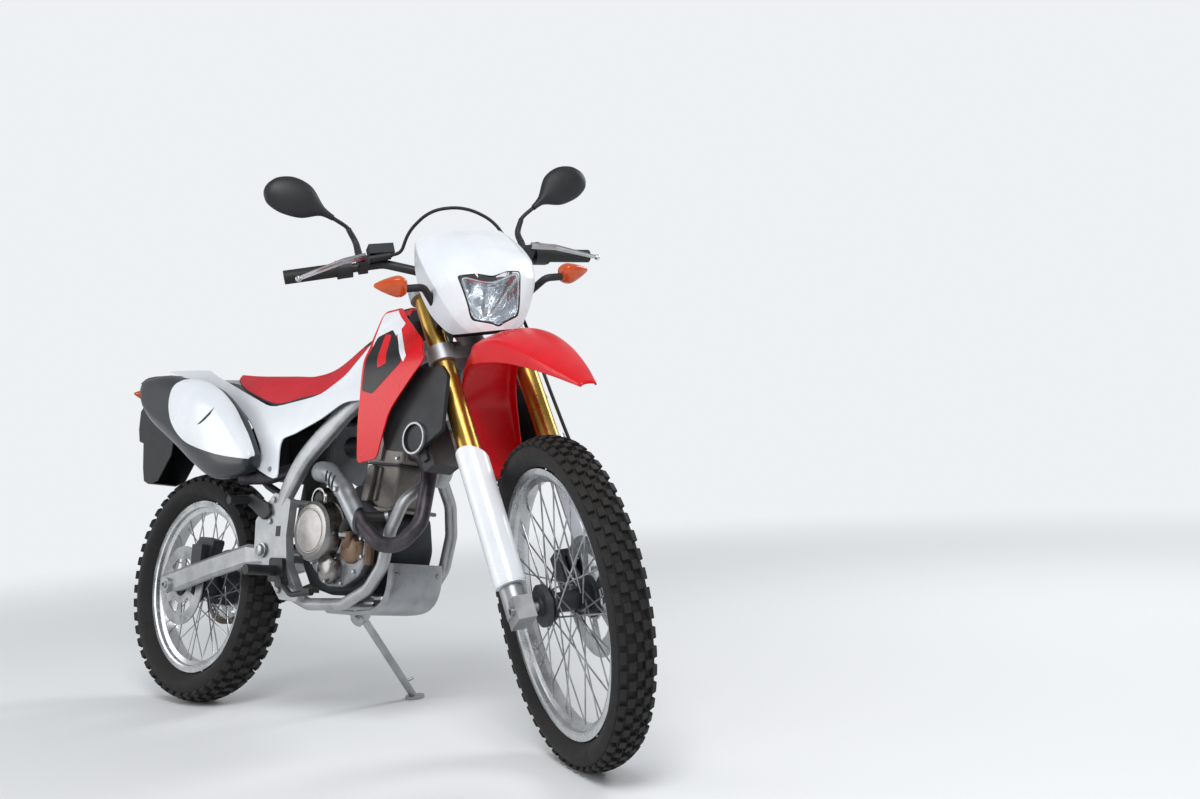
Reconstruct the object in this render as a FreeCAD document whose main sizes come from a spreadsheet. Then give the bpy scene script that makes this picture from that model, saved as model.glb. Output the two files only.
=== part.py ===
import FreeCAD, Part
import math
import os
import Sketcher

# A dual sport motorcycle, parked on its side stand with the front wheel turned to the right.
# Every piece is drawn on the upright machine with the wheels straight ahead: X forward, Y to the
# left, Z up, the ground at Z = 0 and the rear axle above X = 0. The poses at the end lean the
# machine on its stand, turn the steering and move the origin under the middle of the machine.

V = FreeCAD.Vector
doc = FreeCAD.newDocument("dual_sport")
sheet = doc.addObject("Spreadsheet::Sheet", "sizes")

# alias, value in millimetres or degrees, what it is
SIZES = [
    ("wheelbase", 1445, "between the axles, straight ahead"),
    ("rakeAngle", 27.6, "steering axis from vertical"),
    ("trail", 113, "steering axis ahead of the front contact"),
    ("leanAngle", 9.86, "machine leaning left on its stand"),
    ("steerAtRest", 28.35, "front wheel turned to the right"),
    ("runningGap", 0.3, "between pieces that turn on each other"),
    ("movingGap", 5, "between pieces that pass each other"),
    ("seatGap", 0.3, "between a soft piece and what carries it"),
    ("rearTyreRadius", 325, "rear tyre over the lugs"),
    ("rearTyreWidth", 120, "rear tyre across"),
    ("rearRimRadius", 243, "rear rim flange"),
    ("rearRimWidth", 65, "rear rim across"),
    ("frontTyreRadius", 347, "front tyre over the lugs"),
    ("frontTyreWidth", 86, "front tyre across"),
    ("frontRimRadius", 281, "front rim flange"),
    ("frontRimWidth", 51, "front rim across"),
    ("beadDepth", 14, "flange over the bead seat"),
    ("wellDepth", 13, "bead seat over the well"),
    ("rimWall", 3.5, "rim wall"),
    ("rearLugHeight", 11, "rear tyre block height"),
    ("frontLugHeight", 9, "front tyre block height"),
    ("rearTyreBlocks", 26, "blocks round the rear tyre"),
    ("frontTyreBlocks", 28, "blocks round the front tyre"),
    ("spokeRadius", 1.8, "spoke"),
    ("frontAxleRadius", 10, "front axle"),
    ("rearAxleRadius", 10, "rear axle"),
    ("axleBore", 6.5, "hole through each axle"),
    ("frontFlangeRadius", 34, "front hub spoke flange"),
    ("frontFlangeHalf", 31, "front hub flange from the middle"),
    ("rearFlangeRadius", 52, "rear hub spoke flange"),
    ("rearFlangeHalf", 30, "rear hub flange from the middle"),
    ("frontDiscRadius", 128, "front brake disc"),
    ("frontDiscSide", 60, "front disc to the left of the middle"),
    ("rearDiscRadius", 110, "rear brake disc"),
    ("rearDiscSide", 76, "rear disc to the right of the middle"),
    ("discThickness", 4, "brake discs"),
    ("sprocketSide", 76, "chain line left of the middle"),
    ("sprocketTeeth", 40, "rear sprocket teeth"),
    ("chainPitch", 15.875, "chain pitch"),
    ("sprocketThickness", 6, "rear sprocket"),
    ("chainHalfTall", 6.5, "half the height of a chain plate"),
    ("frontSprocketRadius", 36, "pitch line of the front sprocket"),
    ("hoseBend", 400, "the brake hose takes up to this radius where its runs leave room"),
    ("frontSprocketX", 565, "front sprocket along X"),
    ("frontSprocketZ", 425, "front sprocket height"),
    ("forkHalfSpan", 95, "fork leg from the middle"),
    ("forkAhead", 32, "fork leg ahead of the steering axis"),
    ("forkTubeRadius", 25, "outer fork tube"),
    ("forkSliderRadius", 21.5, "inner fork tube"),
    ("forkTubeBottom", 745, "outer tube's lower end along the axis"),
    ("lowerClampBottom", 980, "lower clamp along the axis"),
    ("clampHeight", 40, "lower clamp height"),
    ("upperClampBottom", 1165, "upper clamp along the axis"),
    ("upperClampHeight", 26, "upper clamp height"),
    ("clampWall", 9, "clamp wall round a fork tube"),
    ("steererRadius", 15, "steering stem"),
    ("headTubeRadius", 30, "head tube outside"),
    ("barRadius", 11.1, "handlebar tube"),
    ("barHalfSpan", 388, "handlebar end from the middle"),
    ("gripLength", 124, "grip"),
    ("gripRadius", 16.5, "grip"),
    ("shellWall", 3.5, "moulded covers"),
    ("sparWidth", 30, "frame spar across"),
    ("sparHeight", 50, "frame spar deep"),
    ("railRadius", 15, "lower frame tube"),
    ("railHalfSpan", 95, "lower frame tube from the middle"),
    ("armHalfSpan", 102, "swingarm side from the middle"),
    ("armWidth", 28, "swingarm side across"),
    ("armPivotX", 470, "swingarm pivot along X"),
    ("armPivotZ", 428, "swingarm pivot height"),
    ("pivotBoltRadius", 9, "swingarm pivot bolt"),
    ("crankcaseHalf", 78, "crankcase from the middle"),
    ("headerRadius", 18, "exhaust header"),
    ("standLength", 294.46, "side stand, pivot to foot"),
    ("standRadius", 10, "side stand tube"),
    ("standPivotX", 572, "stand pivot along X"),
    ("standPivotY", 122, "stand pivot from the middle"),
    ("standPivotZ", 272, "stand pivot height"),
    ("plateHoleRadius", 3.25, "number plate bolt hole"),
    ("plateHoleSpan", 60, "between the plate bolt holes"),
    ("plateHolderHalf", 45, "plate holder from the middle"),
]

for row_number, (alias, value, note) in enumerate(SIZES, start=1):
    sheet.set("A%d" % row_number, note)
    sheet.set("B%d" % row_number, str(value))
    sheet.setAlias("B%d" % row_number, alias)
doc.recompute()


def size(alias):
    return float(sheet.get(alias))


# The fork's own directions: ahead at right angles to the steering axis, and up along it.
RAKE = math.radians(size("rakeAngle"))
AHEAD = V(math.cos(RAKE), 0, math.sin(RAKE))
ALONG = V(-math.sin(RAKE), 0, math.cos(RAKE))
SIDE = V(0, 1, 0)
AXIS_FOOT = V(size("wheelbase") + size("trail"), 0, 0)
REAR_AXLE = V(0, 0, size("rearTyreRadius"))
FRONT_AXLE = V(size("wheelbase"), 0, size("frontTyreRadius"))


def fork(ahead, side, along):
    """A point in the fork's own directions, measured from the steering axis at the ground."""
    return AXIS_FOOT + AHEAD * ahead + SIDE * side + ALONG * along


def in_fork(point):
    """The same for a point of the machine: how far ahead, to the side and along."""
    run = point - AXIS_FOOT
    return run.dot(AHEAD), point.y, run.dot(ALONG)


AXLE_AHEAD = (FRONT_AXLE - AXIS_FOOT).dot(AHEAD)
AXLE_ALONG = (FRONT_AXLE - AXIS_FOOT).dot(ALONG)


# Shapes

def mirrored(shape):
    return shape.mirror(V(0, 0, 0), V(0, 1, 0))


def both_sides(shape):
    return Part.makeCompound([shape, mirrored(shape)])


def fused(shapes):
    return shapes[0].multiFuse(list(shapes[1:])).removeSplitter()


def rounded(points, radii, closed=False):
    """A wire of straight runs whose corners are tangent arcs. One radius, or one for each point."""
    count = len(points)
    if not isinstance(radii, (list, tuple)):
        radii = [radii] * count
    leave, arrive, edges = list(points), list(points), []
    arcs = [None] * count
    for i in range(count) if closed else range(1, count - 1):
        back = points[i - 1] - points[i]
        onward = points[(i + 1) % count] - points[i]
        half = back.getAngle(onward) / 2
        if radii[i] <= 0 or half > math.pi / 2 - 0.01:
            continue
        cut = min(radii[i] / math.tan(half), 0.48 * min(back.Length, onward.Length))
        bend = cut * math.tan(half)
        back.normalize()
        onward.normalize()
        middle = back + onward
        middle.normalize()
        arrive[i] = points[i] + back * cut
        leave[i] = points[i] + onward * cut
        crown = points[i] + middle * (bend / math.sin(half) - bend)
        arcs[i] = Part.Arc(arrive[i], crown, leave[i]).toShape()
    for i in range(count if closed else count - 1):
        if arcs[i] is not None:
            edges.append(arcs[i])
        after = (i + 1) % count
        if (arrive[after] - leave[i]).Length > 0.001:
            edges.append(Part.LineSegment(leave[i], arrive[after]).toShape())
    return Part.Wire(edges)


def tube(points, radius, bend, bore=0):
    """A round tube along a rounded path, open at both ends if it has a bore."""
    path = rounded(points, bend)
    start = path.Vertexes[0].Point
    edge = path.Edges[0]
    heading = edge.tangentAt(edge.FirstParameter)
    if (edge.valueAt(edge.FirstParameter) - start).Length > 0.01:
        heading = edge.tangentAt(edge.LastParameter) * -1
    skin = path.makePipeShell([Part.Wire(Part.makeCircle(radius, start, heading))], True, True)
    if bore:
        skin = skin.cut(path.makePipeShell([Part.Wire(Part.makeCircle(bore, start, heading))], True, True))
    return skin


def rod(start, end, radius):
    return Part.makeCylinder(radius, (end - start).Length, start, end - start)


def ring(start, end, radius, bore):
    return rod(start, end, radius).cut(rod(start, end, bore))


def prism(outline, low, high, bend=0):
    """An outline of (x, z) pairs, seen from the side, from one distance across to another."""
    wire = rounded([V(x, low, z) for x, z in outline], bend, closed=True)
    return Part.Face(wire).extrude(V(0, high - low, 0))


def block(ahead, side, along):
    """A box in the fork's own directions, from three (low, high) pairs."""
    corner = fork(ahead[0], side[0], along[0])
    face = Part.Face(Part.makePolygon([
        corner, corner + AHEAD * (ahead[1] - ahead[0]),
        corner + AHEAD * (ahead[1] - ahead[0]) + SIDE * (side[1] - side[0]),
        corner + SIDE * (side[1] - side[0]), corner]))
    return face.extrude(ALONG * (along[1] - along[0]))


def chamfered(centre, first, second, half_first, half_second, corner=0.3):
    """A closed eight-sided section round a centre, in the plane of two directions."""
    cut = corner * min(half_first, half_second) * 2
    marks = [(1, 1), (-1, 1), (-1, -1), (1, -1)]
    points = []
    for p, q in marks:
        a = centre + first * (p * half_first) + second * (q * (half_second - cut))
        b = centre + first * (p * (half_first - cut)) + second * (q * half_second)
        points += [a, b] if p * q > 0 else [b, a]
    return Part.makePolygon(points + points[:1])


def beam(rows, width, height, corner=0.3):
    """A hollow-looking box member through (x, y, z) rows, standing on edge in the XZ plane."""
    sections = []
    for i, row in enumerate(rows):
        here = V(*row[:3])
        run = V(*rows[min(i + 1, len(rows) - 1)][:3]) - V(*rows[max(i - 1, 0)][:3])
        run.y = 0
        run.normalize()
        normal = V(-run.z, 0, run.x)
        across = row[3] if len(row) > 3 else width
        deep = row[4] if len(row) > 4 else height
        sections.append(chamfered(here, SIDE, normal, across / 2, deep / 2, corner))
    return Part.makeLoft(sections, True, True)


def loft(sections):
    return Part.makeLoft(sections, True, True)


def turned(profile, centre):
    """A profile of (across, radius) pairs turned round a wheel's axle line."""
    points = [V(0, y, r) for y, r in profile]
    face = Part.Face(Part.makePolygon(points + points[:1]))
    return face.revolve(V(0, 0, 0), V(0, 1, 0), 360).translate(centre)


# Bookkeeping: each finished piece with the body that it moves with

PIECES = []


def keep(name, body, shape):
    """A piece of plain geometry whose sizes were read from the sheet."""
    piece = doc.addObject("Part::Feature", name)
    piece.Shape = shape
    piece.Label = name
    PIECES.append((piece, body))
    return piece


def keep_object(piece, name, body):
    piece.Label = name
    PIECES.append((piece, body))
    return piece


# Wheels

# One slice of the tread, from the middle outwards: share of the shoulder's angle, 1 on a block and 0 beside it
MIDDLE_BLOCK = [(0.34, 1), (0.34, 0), (0.93, 0)]
SHOULDER_BLOCKS = [(0.4, 0), (0.4, 1), (0.93, 1)]


def tyre_slice(radius, width, rim_radius, rim_width, lug, marks):
    """The closed outline of one slice, as (across, radius): tread, walls, beads and bead seat."""
    bead = rim_width / 2 - 4
    shoulder = radius - width * 0.17
    crown = (radius ** 2 - width ** 2 / 4 - shoulder ** 2) / (2 * (radius - shoulder))
    crown_radius = radius - crown
    spread = math.asin(width / 2 / crown_radius)
    half = []
    for share, raised in marks:
        reach = crown_radius - (0 if raised else lug)
        half.append((reach * math.sin(share * spread), crown + reach * math.cos(share * spread)))
    half += [(width * 0.475, (rim_radius + shoulder) / 2), (bead, rim_radius + 2), (bead, rim_radius - size("beadDepth"))]
    return half + [(-y, r) for y, r in half[::-1]]


def tyre(radius, width, rim_radius, rim_width, lug, blocks, centre):
    """Flat slices round the axle, by turns one with the middle block and one with two shoulder blocks."""
    turn = math.pi / blocks
    slices = []
    for number in range(blocks * 2):
        marks = SHOULDER_BLOCKS if number % 2 else MIDDLE_BLOCK
        outline = tyre_slice(radius, width, rim_radius, rim_width, lug, marks)
        ends = [[V(r * math.sin(angle), y, r * math.cos(angle)) for y, r in outline]
                for angle in (number * turn, number * turn + turn)]
        corners = list(zip(ends[0], ends[1], ends[1][1:] + ends[1][:1], ends[0][1:] + ends[0][:1]))
        loops = [ends[0], ends[1]] + [list(four) for four in corners]
        faces = [Part.Face(Part.makePolygon(loop + loop[:1])) for loop in loops]
        slices.append(Part.Solid(Part.Shell(faces)))
    return fused(slices).translate(centre)


def rim(radius, width, centre):
    half = width / 2
    seat = radius - size("beadDepth")
    well = seat - size("wellDepth")
    wall = size("rimWall")
    side = [
        (half, radius), (half - 3, radius), (half - 4, radius - 3), (half - 4, seat),
        (half - 11, seat), (half - 16, well)]
    under = [
        (half - 17, well - wall), (half - 12, seat - wall - 1), (half - 2, seat - wall),
        (half, seat + 2)]
    profile = side + [(-y, r) for y, r in side[::-1]] + [(-y, r) for y, r in under[::-1]] + under
    return turned(profile, centre)


def spokes(flange_radius, flange_half, rim_radius, centre, crossing):
    """36 spokes: each side's 18 run forward and back in turn, one behind the other where they cross."""
    bed = rim_radius - size("beadDepth") - size("wellDepth") - size("rimWall")
    radius = size("spokeRadius")
    layer = radius * 1.3
    solids = []
    for number in range(36):
        hand = 1 if number % 2 else -1
        way = 1 if (number // 2) % 2 else -1
        outer = math.radians(number * 10)
        inner = outer + way * math.radians(crossing)
        at_hub = V((flange_radius - 4) * math.cos(inner), hand * (flange_half - 2) + way * layer,
                   (flange_radius - 4) * math.sin(inner))
        at_rim = V((bed + 2) * math.cos(outer), hand * 6 + way * layer, (bed + 2) * math.sin(outer))
        run = at_rim - at_hub
        turn = FreeCAD.Rotation(V(0, 0, 1), run)
        corners = [at_hub + turn.multVec(V(radius * math.cos(a), radius * math.sin(a), 0))
                   for a in [math.radians(60 * k) for k in range(7)]]
        solids.append(Part.Face(Part.makePolygon(corners)).extrude(run))
    return Part.makeCompound(solids).translate(centre)


def hub(rows, bore, centre):
    """A hub turned from (across, radius) rows, with its bearing bore through the middle."""
    profile = [(rows[0][0], bore)] + rows + [(rows[-1][0], bore)]
    return turned(profile, centre)


def disc(name, body, radius_alias, inner, window, windows, centre):
    """A brake disc: a padded ring with one window pocketed and repeated round it."""
    part = doc.addObject("PartDesign::Body", name)
    plane = next(f for f in part.Origin.OriginFeatures if f.Role == "XZ_Plane")

    def sketch(label):
        drawing = part.newObject("Sketcher::SketchObject", name + label)
        drawing.AttachmentSupport = (plane, "")
        drawing.MapMode = "FlatFace"
        return drawing

    outline = sketch("_outline")
    for index, radius in enumerate((size(radius_alias), inner)):
        outline.addGeometry(Part.Circle(V(0, 0, 0), V(0, 0, 1), radius), False)
        outline.addConstraint(Sketcher.Constraint("Coincident", index, 3, -1, 1))
        fixed = outline.addConstraint(Sketcher.Constraint("Radius", index, radius))
        if index == 0:
            outline.setExpression("Constraints[%d]" % fixed, "sizes." + radius_alias)
    pad = part.newObject("PartDesign::Pad", name + "_pad")
    pad.Profile = outline
    pad.setExpression("Length", "sizes.discThickness")
    pad.Midplane = True
    opening = sketch("_window")
    low, high, spread = window
    half = math.radians(spread)
    polar = lambda r, a: V(r * math.cos(a), r * math.sin(a), 0)
    opening.addGeometry(Part.ArcOfCircle(Part.Circle(V(0, 0, 0), V(0, 0, 1), low), -half, half), False)
    opening.addGeometry(Part.ArcOfCircle(Part.Circle(V(0, 0, 0), V(0, 0, 1), high), -half, half), False)
    opening.addGeometry(Part.LineSegment(polar(low, -half), polar(high, -half)), False)
    opening.addGeometry(Part.LineSegment(polar(low, half), polar(high, half)), False)
    pocket = part.newObject("PartDesign::Pocket", name + "_pocket")
    pocket.Profile = opening
    pocket.Type = "ThroughAll"
    pocket.Midplane = True
    doc.recompute()
    pattern = part.newObject("PartDesign::PolarPattern", name + "_pattern")
    pattern.Originals = [pocket]
    pattern.Axis = (opening, ["N_Axis"])
    pattern.Occurrences = windows
    pattern.Angle = 360
    part.Tip = pattern
    part.Placement = FreeCAD.Placement(centre, FreeCAD.Rotation())
    return keep_object(part, name, body)


def make_front_wheel():
    bore = size("frontAxleRadius") + size("runningGap")
    keep("front_tyre", "front_wheel", tyre(
        size("frontTyreRadius"), size("frontTyreWidth"), size("frontRimRadius"), size("frontRimWidth"),
        size("frontLugHeight"), int(size("frontTyreBlocks")), FRONT_AXLE))
    keep("front_rim", "front_wheel", rim(size("frontRimRadius"), size("frontRimWidth"), FRONT_AXLE))
    flange, reach = size("frontFlangeRadius"), size("frontFlangeHalf")
    keep("front_spokes", "front_wheel", spokes(flange, reach, size("frontRimRadius"), FRONT_AXLE, 62))
    face = size("frontDiscSide") - size("discThickness") / 2
    rows = [(-62, 22), (-56, 22), (-56, 44), (-44, 44), (-44, 26), (-reach - 3, 26), (-reach - 3, flange),
            (3 - reach, flange), (3 - reach, 21), (reach - 3, 21), (reach - 3, flange), (reach + 3, flange),
            (reach + 3, 28), (face - 8, 28), (face - 8, 44), (face, 44), (face, 24), (64, 24)]
    keep("front_hub", "front_wheel", hub(rows, bore, FRONT_AXLE))
    disc("front_disc", "front_wheel", "frontDiscRadius", 30, (50, 92, 20), 6,
         FRONT_AXLE + SIDE * size("frontDiscSide"))


def make_rear_wheel():
    bore = size("rearAxleRadius") + size("runningGap")
    keep("rear_tyre", "rear_wheel", tyre(
        size("rearTyreRadius"), size("rearTyreWidth"), size("rearRimRadius"), size("rearRimWidth"),
        size("rearLugHeight"), int(size("rearTyreBlocks")), REAR_AXLE))
    keep("rear_rim", "rear_wheel", rim(size("rearRimRadius"), size("rearRimWidth"), REAR_AXLE))
    flange, reach = size("rearFlangeRadius"), size("rearFlangeHalf")
    keep("rear_spokes", "rear_wheel", spokes(flange, reach, size("rearRimRadius"), REAR_AXLE, 58))
    disc_face = size("rearDiscSide") - size("discThickness") / 2
    chain_face = size("sprocketSide") - size("sprocketThickness") / 2
    rows = [(-81, 24), (-disc_face, 24), (-disc_face, 44), (8 - disc_face, 44), (8 - disc_face, 32),
            (-reach - 3, 32), (-reach - 3, flange), (3 - reach, flange), (3 - reach, 34), (reach - 3, 34),
            (reach - 3, flange), (reach + 3, flange), (reach + 3, 50), (chain_face - 10, 54),
            (chain_face, 54), (chain_face, 26), (81, 26)]
    keep("rear_hub", "rear_wheel", hub(rows, bore, REAR_AXLE))
    disc("rear_disc", "rear_wheel", "rearDiscRadius", 30, (50, 78, 20), 6,
         REAR_AXLE - SIDE * size("rearDiscSide"))
    keep("rear_sprocket", "rear_wheel", sprocket())


def sprocket():
    """Straight-sided teeth round a ring with six windows."""
    teeth = int(size("sprocketTeeth"))
    pitch_radius = size("chainPitch") / (2 * math.sin(math.pi / teeth))
    root, tip = pitch_radius - 5.4, pitch_radius + 3.5
    points = []
    for tooth in range(teeth):
        for share, radius in ((-0.27, root), (-0.09, tip), (0.09, tip), (0.27, root)):
            angle = 2 * math.pi * (tooth + share) / teeth
            points.append(V(radius * math.cos(angle), 0, radius * math.sin(angle)))
    plate = Part.Face(Part.makePolygon(points + points[:1])).extrude(SIDE * size("sprocketThickness"))
    plate = plate.cut(Part.makeCylinder(30, 40, V(0, -10, 0), SIDE))
    for number in range(6):
        angle = math.radians(60 * number)
        spot = V(76 * math.cos(angle), -10, 76 * math.sin(angle))
        plate = plate.cut(Part.makeCylinder(11, 40, spot, SIDE))
    return plate.translate(REAR_AXLE + SIDE * (size("sprocketSide") - size("sprocketThickness") / 2))


# Steering: everything that turns with the handlebar

def clamp(along, height):
    """A fork clamp: two bored ends joined by a waisted web round the stem."""
    span, ahead = size("forkHalfSpan"), size("forkAhead")
    grip = size("forkTubeRadius") + size("clampWall")
    ends = [rod(fork(ahead, s * span, along), fork(ahead, s * span, along + height), grip) for s in (-1, 1)]
    middle = rod(fork(0, 0, along), fork(0, 0, along + height), size("headTubeRadius") + 4)
    outline = [(-20, -24), (2, -54), (ahead - 10, -span), (ahead + 22, -span + 8), (ahead + 14, -40),
               (ahead + 14, 40), (ahead + 22, span - 8), (ahead - 10, span), (2, 54), (-20, 24)]
    wire = Part.makePolygon([fork(u, y, along + 4) for u, y in outline + outline[:1]])
    web = Part.Face(wire).extrude(ALONG * (height - 8))
    body = fused(ends + [middle, web])
    for s in (-1, 1):
        body = body.cut(rod(fork(ahead, s * span, along - 5), fork(ahead, s * span, along + height + 5),
                            size("forkTubeRadius")))
    return body


def make_fork():
    span, ahead = size("forkHalfSpan"), size("forkAhead")
    bottom = size("forkTubeBottom")
    top = size("upperClampBottom") + size("upperClampHeight")
    lower = size("lowerClampBottom")
    stem = rod(fork(0, 0, lower), fork(0, 0, top + 8), size("steererRadius"))
    fender_post = block((28, 46), (-24, 24), (962.7, lower + 6))
    keep("triple_clamps", "steering", fused([
        clamp(lower, size("clampHeight")), clamp(size("upperClampBottom"), size("upperClampHeight")), stem,
        fender_post]))

    slider_top = bottom + 30
    outer = ring(fork(ahead, -span, bottom), fork(ahead, -span, slider_top), size("forkTubeRadius"),
                 size("forkSliderRadius") + size("runningGap"))
    upper = rod(fork(ahead, -span, slider_top), fork(ahead, -span, top + 6), size("forkTubeRadius"))
    keep("fork_tubes", "steering", both_sides(fused([outer, upper])))

    inner = rod(fork(ahead, -span, AXLE_ALONG + 20), fork(ahead, -span, slider_top - 1), size("forkSliderRadius"))
    foot = rod(fork(ahead, -span, AXLE_ALONG - 6), fork(ahead, -span, AXLE_ALONG + 62), 26)
    lug = block((ahead - 14, AXLE_AHEAD + 24), (-span - 21, -span + 19), (AXLE_ALONG - 26, AXLE_ALONG + 24))
    leg = fused([inner, foot, lug])
    axle = rod(FRONT_AXLE - SIDE * (span + 27), FRONT_AXLE + SIDE * (span + 27), size("frontAxleRadius"))
    hole = rod(FRONT_AXLE - SIDE * (span + 40), FRONT_AXLE + SIDE * (span + 40), size("axleBore"))
    keep("fork_sliders", "steering", fused([leg, mirrored(leg), axle]).cut(hole))

    guard_outer = rod(fork(ahead + 4, -span, AXLE_ALONG + 66), fork(ahead + 4, -span, 772), 35)
    guard_inner = rod(fork(ahead + 4, -span, AXLE_ALONG + 60), fork(ahead + 4, -span, 780), 35 - size("shellWall"))
    behind = block((ahead - 60, ahead - 8), (-span - 60, -span + 60), (AXLE_ALONG, 800))
    inside = block((ahead - 60, ahead + 22), (-span + 14, -span + 60), (AXLE_ALONG, 800))
    tip = Part.makeLoft([
        Part.makePolygon([fork(ahead - 60, -span - 60, 742), fork(ahead - 60, -span - 60, 820),
                          fork(ahead - 60, -span + 60, 820), fork(ahead - 60, -span + 60, 680),
                          fork(ahead - 60, -span - 60, 742)]),
        Part.makePolygon([fork(ahead + 60, -span - 60, 778), fork(ahead + 60, -span - 60, 820),
                          fork(ahead + 60, -span + 60, 820), fork(ahead + 60, -span + 60, 716),
                          fork(ahead + 60, -span - 60, 778)])], True, True)
    flange = rod(fork(ahead + 4, -span, AXLE_ALONG + 62.3), fork(ahead + 4, -span, AXLE_ALONG + 67), 34)
    flange = flange.cut(rod(fork(ahead, -span, AXLE_ALONG), fork(ahead, -span, 500), size("forkSliderRadius") + 0.3))
    side, room = size("frontDiscSide"), size("discThickness") / 2 + size("movingGap")
    sweep = rod(FRONT_AXLE - SIDE * (side + room), FRONT_AXLE - SIDE * (side - room), size("frontDiscRadius") + 6)
    guard = fused([guard_outer.cut(guard_inner), flange]).cut(behind).cut(inside).cut(tip).cut(sweep)
    keep("fork_guards", "steering", both_sides(guard))


# ahead, side, along of the bar's bends, from the middle to the right end
BAR_ROUTE = [(18, 0, 1250), (18, -62, 1250), (4, -160, 1300), (-27, -388, 1303)]


def make_bar():
    reach = size("barHalfSpan")
    right = [fork(*row) for row in BAR_ROUTE[:-1]] + [fork(BAR_ROUTE[-1][0], -reach, BAR_ROUTE[-1][2])]
    left = [V(p.x, -p.y, p.z) for p in right[:0:-1]]
    bar = tube(left + right[1:], size("barRadius"), 60)
    posts = []
    top = size("upperClampBottom") + size("upperClampHeight")
    for s in (-1, 1):
        posts.append(rod(fork(18, s * 42, top), fork(18, s * 42, BAR_ROUTE[0][2]), 13))
        posts.append(block((0, 36), (s * 42 - 15, s * 42 + 15), (BAR_ROUTE[0][2] - 16, BAR_ROUTE[0][2] + 17)))
    keep("handlebar", "steering", fused([bar] + posts))

    end, before = right[-1], right[-2]
    run = before - end
    run.normalize()
    gap = size("seatGap")
    outer, inner = end - run * 4, end + run * size("gripLength")
    bore = size("barRadius") + gap
    sleeve = ring(end - run * gap, inner, size("gripRadius"), bore)
    cap = rod(outer, end - run * gap, size("gripRadius"))
    flange = ring(inner - run * 6, inner, size("gripRadius") + 6, bore)
    keep("grips", "steering", both_sides(fused([sleeve, cap, flange])))
    return end, run


def make_controls(end, run):
    """Perches, master cylinder, switch boxes and levers on the bar, right and left."""
    bore = size("barRadius") + size("seatGap")
    inner = end + run * (size("gripLength") + size("seatGap"))
    bar = rod(end, end + run * 220, bore)
    housing = ring(inner, inner + run * 30, 22, bore)
    perch = rod(inner + run * 44, inner + run * 66, 18)
    centre = inner + run * 55
    ahead, side, along = in_fork(centre)
    arm = fused([perch, block((ahead, ahead + 38), (side - 11, side + 11), (along - 16, along + 4))])
    nut = rod(centre + ALONG * 12, centre + ALONG * 40, 9)
    reservoir = Part.makeBox(34, 60, 24)
    reservoir.Placement = FreeCAD.Placement(
        centre + AHEAD * 11 + ALONG * 13 + SIDE * 15, FreeCAD.Rotation(V(0, 1, 0), -size("rakeAngle") / 2))
    cylinder = rod(centre + AHEAD * 26 + SIDE * 2, centre + AHEAD * 34 + SIDE * 64 + ALONG * 2, 9.5)
    right = fused([arm, nut, reservoir, cylinder]).cut(bar)
    left_inner = V(inner.x, -inner.y, inner.z)
    left_run = V(run.x, -run.y, run.z)
    left_arm = mirrored(fused([arm, nut]).cut(bar))
    switch = rod(left_inner + left_run * 20 + ALONG * 4, left_inner + left_run * 20 + ALONG * 30, 18)
    bulge = rod(left_inner, left_inner + left_run * 34, 24)
    keep("hand_controls", "steering", Part.makeCompound([
        housing, right, left_arm, fused([switch, bulge]).cut(mirrored(bar))]))

    tip = fork(44, -376, 1244)
    root = centre + AHEAD * 47.3 - ALONG * 6
    bend = root + (tip - root) * 0.35 + AHEAD * 10
    up = ALONG
    sections = []
    for spot, half_deep, half_tall in ((root, 9, 6), (bend, 7.5, 5.5), (tip, 5, 4)):
        sections.append(chamfered(spot, AHEAD, up, half_deep, half_tall, 0.25))
    blade = loft(sections)
    ball = Part.makeSphere(7.5, tip)
    keep("levers", "steering", both_sides(fused([blade, ball])))
    return centre


# along the head, share of the way from the neck to the outer end: half height, half depth
MIRROR_SECTIONS = [(0.0, 8, 8), (0.2, 15, 12), (0.42, 41, 18), (0.68, 47, 19), (0.88, 36, 15), (1.0, 12, 6)]


def make_mirrors(centre):
    """A bent stem on the perch and a teardrop head, its glass side facing the rider."""
    foot = centre + ALONG * (40 + size("seatGap"))
    knee = foot + ALONG * 34
    elbow = V(knee.x + 2, knee.y - 14, knee.z + 34)
    neck = V(elbow.x + 6, elbow.y - 34, elbow.z + 26)
    outer = V(neck.x + 4, neck.y - 152, neck.z + 78)
    stem = tube([foot, knee, elbow, neck], 5, 26)
    axis = outer - neck
    length = axis.Length
    axis.normalize()
    rearward = V(-1, 0, 0)
    tall = axis.cross(rearward)
    tall.normalize()
    sections = []
    for share, half_tall, half_deep in MIRROR_SECTIONS:
        spot = neck + axis * (share * length) + tall * (-9 * math.sin(math.pi * share))
        corners = []
        for k in range(12):
            angle = math.radians(30 * k + 15)
            deep = half_deep * math.cos(angle) * (1.15 if math.cos(angle) > 0 else 0.55)
            corners.append(spot + tall * (half_tall * math.sin(angle)) + V(deep, 0, 0))
        sections.append(Part.makePolygon(corners + corners[:1]))
    head = loft(sections)
    keep("mirrors", "steering", both_sides(fused([stem, head])))


# along the steering axis, half width, ahead at the middle, ahead at the corner, ahead at the back edge
COWL_ROWS = [
    (1252, 104, 166, 158, 128), (1180, 124, 214, 192, 118), (1110, 124, 240, 214, 104),
    (1040, 100, 226, 194, 98), (995, 84, 190, 168, 104), (968, 40, 172, 158, 118)]
# ahead is left out: the lens outline seen along the cowl, (side, along)
LENS_OUTLINE = [(-76, 1092), (0, 1070), (76, 1092), (57, 1000), (0, 971), (-57, 1000)]


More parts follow.
